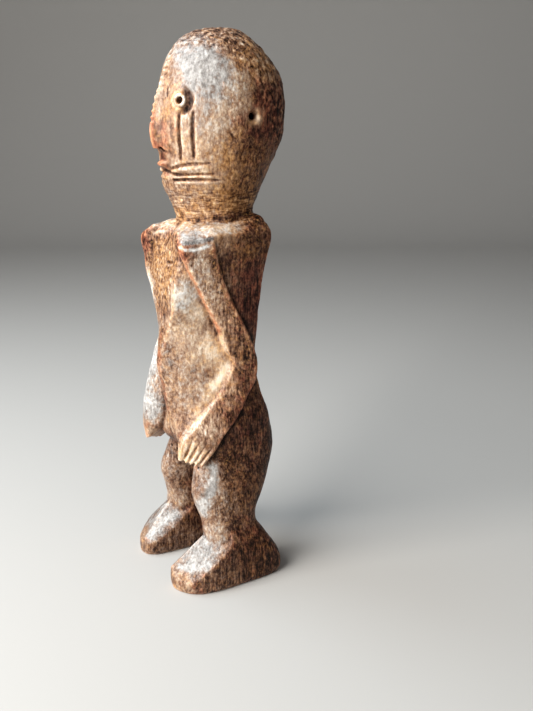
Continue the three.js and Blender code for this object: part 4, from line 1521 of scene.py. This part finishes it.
    def paint(self, piece: SceneObject, block: Block) -> None:
        """Write each value to the mesh as an attribute.

        Args:
            piece: The finished figure.
            block: The block that it was made from.
        """
        mesh = piece.data
        flat = np.empty(3 * len(mesh.vertices))
        mesh.vertices.foreach_get("co", flat)
        points = flat.reshape(-1, 3) / MM
        points[:, 1] -= BLOCK_TO_FRAME_Y
        drift = [Mottle(self.drift_cell, seed, 2, self.drift).at(points) for seed in self.drift_seeds]
        shifted = points + np.stack(drift, axis=-1)
        total = np.full(len(points), self.elsewhere_weight)
        wear_and_light = total[:, None] * np.array(self.elsewhere)
        for zone in self.zones():
            weight = zone.weight(shifted)
            total += weight
            wear_and_light += weight[:, None] * np.array(zone.wear_and_light)
        wear_and_light /= total[:, None]
        for trail in self.trails():
            weight = trail.weight(points)[:, None]
            wear_and_light = wear_and_light * (1.0 - weight) + weight * np.array(trail.wear_and_light)
        masks = dict(zip(self.names, wear_and_light.T))
        mesh.vertex_normals.foreach_get("vector", flat)
        y, z, up = points[:, 1], points[:, 2], flat[2::3]
        cap = self.figure.cap(points)
        # Faces that look up, towards the front and off the cap, are made paler, less so low down, and greyer
        # below the head
        front_top = smooth_step(0.35, 0.8, up) * smooth_step(28.0, 12.0, y)
        front_top *= smooth_step(0.1, -0.2, cap) * (0.4 + 0.6 * smooth_step(60.0, 90.0, z))
        masks["tone"] = masks["tone"] + self.front_top_tone * front_top
        masks["grey"] = masks["grey"] + self.front_top_grey * front_top * smooth_step(345.0, 330.0, z)
        near = block.read(block.blurred(self.edge_reach), points) - block.read(block.depth, points)
        masks["worn"] = np.clip(near * self.worn[0] - self.worn[1], 0.0, 1.0)
        # Painted shade and grime: a mask that darkens hollows
        masks["hollow"] = np.clip(-near * self.hollow[0] - self.hollow[1], 0.0, 1.0)
        masks["cap"] = smooth_step(-0.2, 0.4, cap)
        masks["neck"] = smooth_step(320.0, 328.0, z) * smooth_step(356.0, 346.0, z)
        for name, values in masks.items():
            layer = mesh.attributes.new(name, "FLOAT", "POINT")
            layer.data.foreach_set("value", values.astype(np.float32))


class Bench:
    """Adds nodes to one node tree and links them."""

    def __init__(self, tree: Tree) -> None:
        """Keep the tree."""
        self.tree = tree

    def node(self, kind: str, **settings: object) -> Node:
        """Add a node and set its properties."""
        made = self.tree.nodes.new(kind)
        for name, value in settings.items():
            setattr(made, name, value)
        return made

    def feed(self, socket: Socket, value: object) -> None:
        """Link a socket to another one, or set its value."""
        if isinstance(value, Socket):
            self.tree.links.new(value, socket)
        else:
            socket.default_value = value

    def feed_named(self, node: Node, values: dict[str, object]) -> None:
        """Link or set a node's inputs by their names."""
        for name, value in values.items():
            self.feed(node.inputs[name], value)

    def add(self, kind: str, values: dict[str, object], **settings: object) -> Socket:
        """Add a node, link or set its inputs, and give its first output."""
        made = self.node(kind, **settings)
        self.feed_named(made, values)
        return made.outputs[0]

    def math(self, operation: str, *values: object, clamp: bool = False) -> Socket:
        """Add a Math node.

        Args:
            operation: The node's operation.
            values: Its inputs, as numbers or sockets.
            clamp: Whether the result stays from 0 to 1.

        Returns:
            The result's socket.
        """
        made = self.node("ShaderNodeMath", operation=operation, use_clamp=clamp)
        for socket, value in zip(made.inputs, values):
            self.feed(socket, value)
        return made.outputs[0]

    def plus(self, value: object, source: object, amount: object, clamp: bool = False) -> Socket:
        """Add an amount of a source to a value."""
        return self.math("MULTIPLY_ADD", source, amount, value, clamp=clamp)

    def uneven(self, value: object, source: object, amount: object) -> Socket:
        """Add an amount of a noise, centred on zero, to a value."""
        return self.plus(value, self.math("SUBTRACT", source, 0.5), amount)

    def mix(self, factor: object, first: object, second: object) -> Socket:
        """Mix two colours."""
        made = self.node("ShaderNodeMix", data_type="RGBA", clamp_factor=True)
        colours = [socket for socket in made.inputs if socket.type == "RGBA"]
        for socket, value in zip((made.inputs[0], *colours), (factor, first, second)):
            self.feed(socket, value)
        return next(socket for socket in made.outputs if socket.type == "RGBA")

    def range(self, value: object, low: float, high: float) -> Socket:
        """Rise smoothly from 0 at a low value to 1 at a high one."""
        made = self.node("ShaderNodeMapRange", interpolation_type="SMOOTHSTEP")
        for socket, number in zip(made.inputs, (value, low, high, 0.0, 1.0)):
            self.feed(socket, number)
        return made.outputs[0]

    def noise(self, vector: object, scale: object, detail: float = 3.0,
              rough: float = 0.6) -> Socket:
        """Add a noise texture and give its value's socket."""
        return self.add("ShaderNodeTexNoise", {
            "Vector": vector, "Scale": scale, "Detail": detail, "Roughness": rough,
        })

    def stretch(self, vector: object, scale: Point) -> Socket:
        """Stretch the coordinates, so that a pattern is drawn out."""
        return self.add("ShaderNodeMapping", {"Vector": vector, "Scale": scale})

    def shift(self, vector: object, away: float) -> Socket:
        """Move the coordinates, so that a pattern differs from its neighbours."""
        place = (away, 0.37 * away, -0.61 * away)
        return self.add("ShaderNodeMapping", {"Vector": vector, "Location": place})

    def mask(self, name: str) -> Socket:
        """Read one of the mesh's own masks."""
        return self.node("ShaderNodeAttribute", attribute_name=name).outputs["Fac"]

    def spots(self, group: Tree, vector: object, scale: float, cover: object) -> Node:
        """Add the shared group of spots."""
        made = self.node("ShaderNodeGroup", node_tree=group)
        self.feed_named(made, {"Vector": vector, "Scale": scale, "Cover": cover})
        return made

    def surface(self, colour: object, gloss: object, height: object,
                bump: tuple[float, float]) -> Node:
        """Give the material its colour, roughness and bump.

        Args:
            colour: The colour.
            gloss: The roughness.
            height: The height that the bump follows.
            bump: The bump's strength and its distance in metres.

        Returns:
            The surface's node.
        """
        strength, distance = bump
        normal = self.add("ShaderNodeBump", {"Strength": strength, "Distance": distance, "Height": height})
        made = self.tree.nodes["Principled BSDF"]
        self.feed_named(made, {"Base Color": colour, "Roughness": gloss, "Normal": normal})
        return made


def hue(red: int, green: int, blue: int) -> tuple[float, float, float, float]:
    """Turn a colour as seen on a screen, from 0 to 255, into the renderer's own.

    Args:
        red: The red part.
        green: The green part.
        blue: The blue part.

    Returns:
        The colour with full alpha.
    """
    shares = [part / 255.0 for part in (red, green, blue)]
    linear = [s / 12.92 if s <= 0.04045 else ((s + 0.055) / 1.055) ** 2.4 for s in shares]
    return (*linear, 1.0)


def new_group(
    name: str, kind: str, inputs: dict[str, str], outputs: dict[str, str]
) -> tuple[Tree, Bench, Node, Node]:
    """Start a node group.

    Args:
        name: The group's name.
        kind: The kind of its tree.
        inputs: The kind of each input socket, by name.
        outputs: The kind of each output socket, by name.

    Returns:
        The group, a bench on it, and its input and output nodes.
    """
    tree = bpy.data.node_groups.new(name, kind)
    for way, sockets in (("INPUT", inputs), ("OUTPUT", outputs)):
        for title, socket in sockets.items():
            tree.interface.new_socket(title, in_out=way, socket_type=socket)
    bench = Bench(tree)
    return tree, bench, bench.node("NodeGroupInput"), bench.node("NodeGroupOutput")


def new_material(name: str) -> tuple[bpy.types.Material, Bench, Socket]:
    """Start a material of nodes.

    Args:
        name: The material's name.

    Returns:
        The material, a bench on it, and the socket of the object's coordinates.
    """
    made = bpy.data.materials.new(name)
    made.use_nodes = True
    bench = Bench(made.node_tree)
    return made, bench, bench.node("ShaderNodeTexCoord").outputs["Object"]


def speckle_group() -> Tree:
    """Small spots with soft edges, which both the wood and the beads carry.

    Returns:
        The group: Vector, Scale and Cover in, Mask and Height out.
    """
    tree, bench, start, end = new_group(
        "speckle", "ShaderNodeTree",
        {"Vector": "NodeSocketVector", "Scale": "NodeSocketFloat", "Cover": "NodeSocketFloat"},
        {"Mask": "NodeSocketFloat", "Height": "NodeSocketFloat"},
    )
    noise = bench.noise(start.outputs["Vector"], start.outputs["Scale"], 4.0, 0.7)
    over = bench.math("SUBTRACT", noise, bench.math("SUBTRACT", 0.78, start.outputs["Cover"]))
    bench.feed(end.inputs["Mask"], bench.math("MULTIPLY", over, 9.0, clamp=True))
    bench.feed(end.inputs["Height"], noise)
    return tree


@dataclass(frozen=True)
class Ramp:
    """One hue of the wood from its darkest to its palest tone.

    Attributes:
        colours: The colours, with parts from 0 to 255.
        places: The tone of each.
    """

    colours: tuple[tuple[int, int, int], ...]
    places: Row = (0.0, 0.22, 0.45, 0.7, 0.88, 1.0)

    def place(self, bench: Bench, tone: Socket) -> Socket:
        """Add the ramp to a material.

        Args:
            bench: The material's bench.
            tone: The socket that picks the tone.

        Returns:
            The colour's socket.
        """
        made = bench.node("ShaderNodeValToRGB")
        band = made.color_ramp
        while len(band.elements) < len(self.colours):
            band.elements.new(0.5)
        for element, place, parts in zip(band.elements, self.places, self.colours):
            element.position = place
            element.color = hue(*parts)
        bench.feed(made.inputs[0], tone)
        return made.outputs[0]


@dataclass(frozen=True)
class WornWood:
    """Dark oiled hardwood, rubbed pale, golden or red where hands and years wore it, grey where worn and
    where sheen and highlights are painted, and darker in its hollows with painted shade and grime.
    """

    brown: Ramp = Ramp((
        (20, 11, 8), (68, 42, 30), (124, 91, 70), (170, 142, 118), (206, 184, 160), (228, 212, 192),
    ))
    golden: Ramp = Ramp((
        (24, 12, 5), (80, 45, 20), (140, 94, 50), (188, 140, 88), (214, 172, 122), (234, 202, 156),
    ))
    russet: Ramp = Ramp((
        (20, 8, 6), (76, 34, 24), (136, 76, 52), (192, 128, 90), (220, 160, 118), (234, 188, 148),
    ))
    ashen: Ramp = Ramp((
        (24, 23, 23), (66, 62, 60), (116, 111, 107), (164, 160, 156), (202, 199, 195), (222, 220, 217),
    ))
    soot: Row = hue(26, 16, 13)
    chaff: Row = hue(206, 152, 94)
    bump: tuple[float, float] = (0.6, 0.0008)
    # How much of each patch of hue is noise, and how strongly the spots show
    patchiness: float = 1.4
    spot_strength: float = 0.5

    def material(self, speckle: Tree) -> bpy.types.Material:
        """Build the finish.

        Args:
            speckle: The shared group of spots.

        Returns:
            The material.
        """
        made, bench, place = new_material("worn_wood")
        cloud = bench.noise(place, 42.0, 3.0, 0.55)
        mottle = bench.noise(bench.stretch(place, (1.0, 1.0, 0.6)), 170.0, 5.0, 0.62)
        fleck = bench.noise(bench.stretch(place, (1.0, 1.0, 0.7)), 470.0, 4.0, 0.66)
        lines = bench.noise(bench.stretch(place, (1.0, 1.0, 0.07)), 560.0, 3.0, 0.65)
        hatch = bench.noise(bench.stretch(place, (0.16, 0.16, 1.0)), 620.0, 2.0, 0.6)
        patches = bench.noise(bench.shift(place, 9.1), 230.0, 2.0, 0.6)
        wear_and_light = {name: bench.mask(name) for name in (*PatinaAndPaintedLight.names, "worn", "hollow", "cap", "neck")}

        tone = bench.math("SUBTRACT", wear_and_light["tone"], 0.03)
        for source, amount in (
            (cloud, 0.36),
            (mottle, 0.8),
            (fleck, bench.plus(0.4, wear_and_light["fleck"], 1.15)),
            (lines, bench.math("MULTIPLY", wear_and_light["grain"], 1.5)),
            (hatch, bench.math("MULTIPLY", wear_and_light["neck"], 1.3)),
            (patches, bench.plus(bench.math("MULTIPLY", wear_and_light["cap"], 1.2), wear_and_light["fleck"], 0.5)),
        ):
            tone = bench.uneven(tone, source, amount)
        tone = bench.plus(tone, wear_and_light["worn"], 0.2)
        # Painted shade and grime darken the hollows
        tone = bench.plus(tone, wear_and_light["hollow"], -0.28, clamp=True)

        # name, shift, scale and detail of its patches, finer noise and its amount
        hues = {}
        for name, away, scale, detail, source, amount in (
            ("gold", 7.7, 210.0, 3.0, fleck, 1.0),
            ("red", 12.3, 160.0, 3.0, lines, 0.6),
            ("grey", 18.9, 220.0, 4.0, fleck, 0.9),
        ):
            patch = bench.noise(bench.shift(place, away), scale, detail)
            hues[name] = bench.uneven(bench.uneven(wear_and_light[name], patch, self.patchiness), source, amount)
        hues["red"] = bench.plus(hues["red"], wear_and_light["worn"], 0.3)
        colour = self.brown.place(bench, tone)
        # Grey paints sheen and highlights as well as grey rubbed wood
        for name, low, high, ramp in (
            ("gold", 0.15, 0.85, self.golden),
            ("grey", 0.15, 0.9, self.ashen),
            ("red", 0.2, 0.9, self.russet),
        ):
            colour = bench.mix(bench.range(hues[name], low, high), colour, ramp.place(bench, tone))

        # name, scale, shift, least cover, how much the flecks add to it, colour
        spots = {}
        for name, scale, away, least, more, stain in (
            ("dark", 560.0, 0.0, 0.13, 0.07, self.soot),
            ("pale", 480.0, 5.3, 0.08, 0.14, self.chaff),
        ):
            cover = bench.plus(least, wear_and_light["fleck"], more)
            spots[name] = bench.spots(speckle, bench.shift(place, away), scale, cover).outputs["Mask"]
            colour = bench.mix(bench.math("MULTIPLY", spots[name], self.spot_strength), colour, stain)

        gloss = bench.uneven(0.44, mottle, 0.5)
        gloss = bench.plus(gloss, wear_and_light["grey"], -0.1)
        gloss = bench.plus(gloss, wear_and_light["hollow"], 0.3)
        gloss = bench.plus(gloss, wear_and_light["cap"], 0.12, clamp=True)

        height = fleck
        for source, amount in (
            (lines, wear_and_light["grain"]),
            (mottle, 1.2),
            (hatch, wear_and_light["neck"]),
            (spots["dark"], -0.2),
        ):
            height = bench.plus(height, source, amount)
        surface = bench.surface(colour, gloss, height, self.bump)
        bench.feed(surface.inputs["Specular IOR Level"], bench.plus(0.1, tone, 0.5))
        return made


@dataclass(frozen=True)
class BeadGlaze:
    """Old off-white glass with grime in its pits."""

    white: Row = hue(232, 222, 206)
    cream: Row = hue(176, 136, 100)
    stain: Row = hue(120, 86, 58)
    bump: tuple[float, float] = (0.3, 0.0003)

    def material(self, speckle: Tree) -> bpy.types.Material:
        """Build the finish.

        Args:
            speckle: The shared group of spots.

        Returns:
            The material.
        """
        made, bench, place = new_material("bead_glaze")
        spots = bench.spots(speckle, place, 900.0, 0.24)
        aged = bench.noise(bench.shift(place, 2.3), 150.0, 2.0, 0.5)
        colour = bench.mix(bench.range(aged, 0.42, 0.6), self.white, self.cream)
        colour = bench.mix(bench.math("MULTIPLY", spots.outputs["Mask"], 0.6), colour, self.stain)
        gloss = bench.plus(0.22, spots.outputs["Mask"], 0.35)
        bench.surface(colour, gloss, spots.outputs["Height"], self.bump)
        return made


@dataclass
class EyeBeads:
    """The two pierced beads, each a ring set flat on its boss."""

    face: Face
    # The ring's and the tube's radius, and how many points stand for each circle
    radii: dict[str, tuple[float, int]] = field(default_factory=lambda: {
        "Ring Radius": (4.15, 48), "Tube Radius": (1.3, 20),
    })

    def tree(self, material: bpy.types.Material) -> Tree:
        """Build the geometry nodes that put a ring on each point.

        Args:
            material: The finish of the beads.

        Returns:
            The node tree, with the ring's two radii as inputs.
        """
        tree, bench, start, end = new_group(
            "bead_rings", "GeometryNodeTree",
            {"Geometry": "NodeSocketGeometry", **{name: "NodeSocketFloat" for name in self.radii}},
            {"Geometry": "NodeSocketGeometry"},
        )
        circle = "GeometryNodeCurvePrimitiveCircle"
        ring, tube = (
            bench.add(circle, {"Resolution": count, "Radius": start.outputs[name]})
            for name, (_, count) in self.radii.items()
        )
        sweep = bench.add("GeometryNodeCurveToMesh", {"Curve": ring, "Profile Curve": tube})
        facing = bench.node("GeometryNodeInputNamedAttribute", data_type="FLOAT_VECTOR")
        facing.inputs["Name"].default_value = "facing"
        way = {"Vector": facing.outputs["Attribute"]}
        turn = bench.add("FunctionNodeAlignRotationToVector", way, axis="Z")
        laid = bench.add("GeometryNodeInstanceOnPoints", {
            "Points": start.outputs["Geometry"], "Instance": sweep, "Rotation": turn,
        })
        real = bench.add("GeometryNodeRealizeInstances", {"Geometry": laid})
        smooth = bench.add("GeometryNodeSetShadeSmooth", {"Geometry": real})
        dressed = bench.add("GeometryNodeSetMaterial", {"Geometry": smooth, "Material": material})
        bench.feed(end.inputs["Geometry"], dressed)
        return tree

    def build(self, material: bpy.types.Material) -> SceneObject:
        """Make both beads as one plain mesh.

        Args:
            material: The finish of the beads.

        Returns:
            The piece.
        """
        head, z = self.face.head, self.face.eye_z
        xs = [self.face.eye_x * side.value for side in Side]
        spots = [(head.face_point(x, z) + [0.0, BLOCK_TO_FRAME_Y, 0.0]) * MM for x in xs]
        ways = [head.face_normal(x, z) for x in xs]
        mesh = bpy.data.meshes.new("bead_points")
        mesh.from_pydata([tuple(spot) for spot in spots], [], [])
        layer = mesh.attributes.new("facing", "FLOAT_VECTOR", "POINT")
        layer.data.foreach_set("vector", np.array(ways, dtype=np.float32).ravel())
        piece = new_object("eye_beads", mesh)
        tree = self.tree(material)
        modifier = piece.modifiers.new("rings", "NODES")
        modifier.node_group = tree
        for socket in tree.interface.items_tree:
            if socket.in_out == "INPUT" and socket.name in self.radii:
                modifier[socket.identifier] = self.radii[socket.name][0] * MM
        apply_modifiers(piece)
        return piece


@dataclass(frozen=True)
class Studio:
    """The camera, the lights and the plain pale floor."""

    image: tuple[int, int] = (533, 711)
    focal_pixels: float = 782.0
    camera_place: Point = (615.8, -314.7, 398.3)
    azimuth: float = 59.0
    pitch: float = 16.0
    floor_colour: Row = hue(186, 184, 180)
    floor_roughness: float = 0.8
    # Half the floor's width, the backdrop's height and its bend's radius, in metres
    floor_half: float = 3.0
    floor_rise: float = 2.6
    floor_turn: float = 0.9
    bend_steps: int = 12
    # What the lights look at, in metres
    lit_place: Point = (0.0, 0.0, 0.26)
    sky_colour: Row = (0.9, 0.9, 0.92, 1.0)
    sky_strength: float = 0.17

    def camera(self) -> SceneObject:
        """Place the camera at the picture's own angle."""
        lens = bpy.data.cameras.new("view")
        lens.sensor_fit = "AUTO"
        lens.sensor_width = 36.0
        lens.lens = self.focal_pixels * lens.sensor_width / max(self.image)
        lens.clip_start = 0.01
        made = new_object("view", lens)
        made.location = Vector(self.camera_place) * MM
        made.rotation_euler = (math.radians(90.0 - self.pitch), 0.0, math.radians(self.azimuth))
        bpy.context.scene.camera = made
        return made

    def light(self, name: str, way: Point, away: float, size: float, power: float,
              colour: tuple[float, float, float]) -> None:
        """Hang a soft square light that looks at the figure.

        Args:
            name: The light's name.
            way: The direction from the figure to the light.
            away: How far off it hangs, in metres.
            size: Its width, in metres.
            power: Its power, in watts.
            colour: Its colour.
        """
        lamp = bpy.data.lights.new(name, "AREA")
        lamp.size = size
        lamp.energy = power
        lamp.color = colour
        made = new_object(name, lamp)
        middle = Vector(self.lit_place)
        made.location = middle + Vector(way).normalized() * away
        made.rotation_euler = (middle - made.location).to_track_quat("-Z", "Y").to_euler()

    def floor(self) -> SceneObject:
        """Lay the pale floor, which turns up into a backdrop behind the figure."""
        half, turn = self.floor_half, self.floor_turn
        profile = [(-half, 0.0), (half - turn, 0.0)]
        for i in range(1, self.bend_steps + 1):
            angle = math.pi / 2 * i / self.bend_steps
            profile.append((half - turn + turn * math.sin(angle), turn - turn * math.cos(angle)))
        profile.append((half, self.floor_rise))
        away = Matrix.Rotation(math.radians(self.azimuth), 3, "Z")
        points = [away @ Vector((side, run, up)) for run, up in profile for side in (-half, half)]
        faces = [(2 * i, 2 * i + 1, 2 * i + 3, 2 * i + 2) for i in range(len(profile) - 1)]
        mesh = bpy.data.meshes.new("pale_floor")
        mesh.from_pydata([tuple(point) for point in points], [], faces)
        mesh.shade_smooth()
        made = new_object("pale_floor", mesh)
        paint = bpy.data.materials.new("pale_floor")
        paint.use_nodes = True
        surface = paint.node_tree.nodes["Principled BSDF"]
        surface.inputs["Base Color"].default_value = self.floor_colour
        surface.inputs["Roughness"].default_value = self.floor_roughness
        mesh.materials.append(paint)
        return made

    def build(self) -> None:
        """Set up the whole studio."""
        self.camera()
        self.floor()
        self.light("window", (0.14, -0.85, 0.5), 1.5, 1.25, 56.0, (1.0, 0.985, 0.96))
        self.light("skylight", (-0.35, -0.32, 0.88), 1.3, 0.6, 9.0, (0.72, 0.87, 1.0))
        self.light("fill", (0.95, 0.25, 0.2), 2.0, 1.6, 2.6, (1.0, 0.84, 0.66))
        world = bpy.data.worlds.new("soft_room")
        world.use_nodes = True
        sky = world.node_tree.nodes["Background"]
        sky.inputs["Color"].default_value = self.sky_colour
        sky.inputs["Strength"].default_value = self.sky_strength
        bpy.context.scene.world = world
        bpy.context.scene.view_settings.view_transform = "Standard"


def main() -> None:
    """Build the studio, the figure and its beads, and report each piece."""
    logging.basicConfig(level=logging.INFO, format="%(name)s: %(message)s")
    Studio().build()
    speckle = speckle_group()
    figure = Figure(step=0.8)
    piece, block = figure.mesh()
    PatinaAndPaintedLight(figure).paint(piece, block)
    piece.data.materials.clear()
    piece.data.materials.append(WornWood().material(speckle))
    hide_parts("figure")
    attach(piece, "root")
    log.info("%s: %d faces", piece.name, len(piece.data.polygons))

    beads = EyeBeads(Face(figure.head)).build(BeadGlaze().material(speckle))
    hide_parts("left_eye_bead", "right_eye_bead")
    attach(beads, "root")
    log.info("%s: %d faces", beads.name, len(beads.data.polygons))


if __name__ == "__main__":
    main()
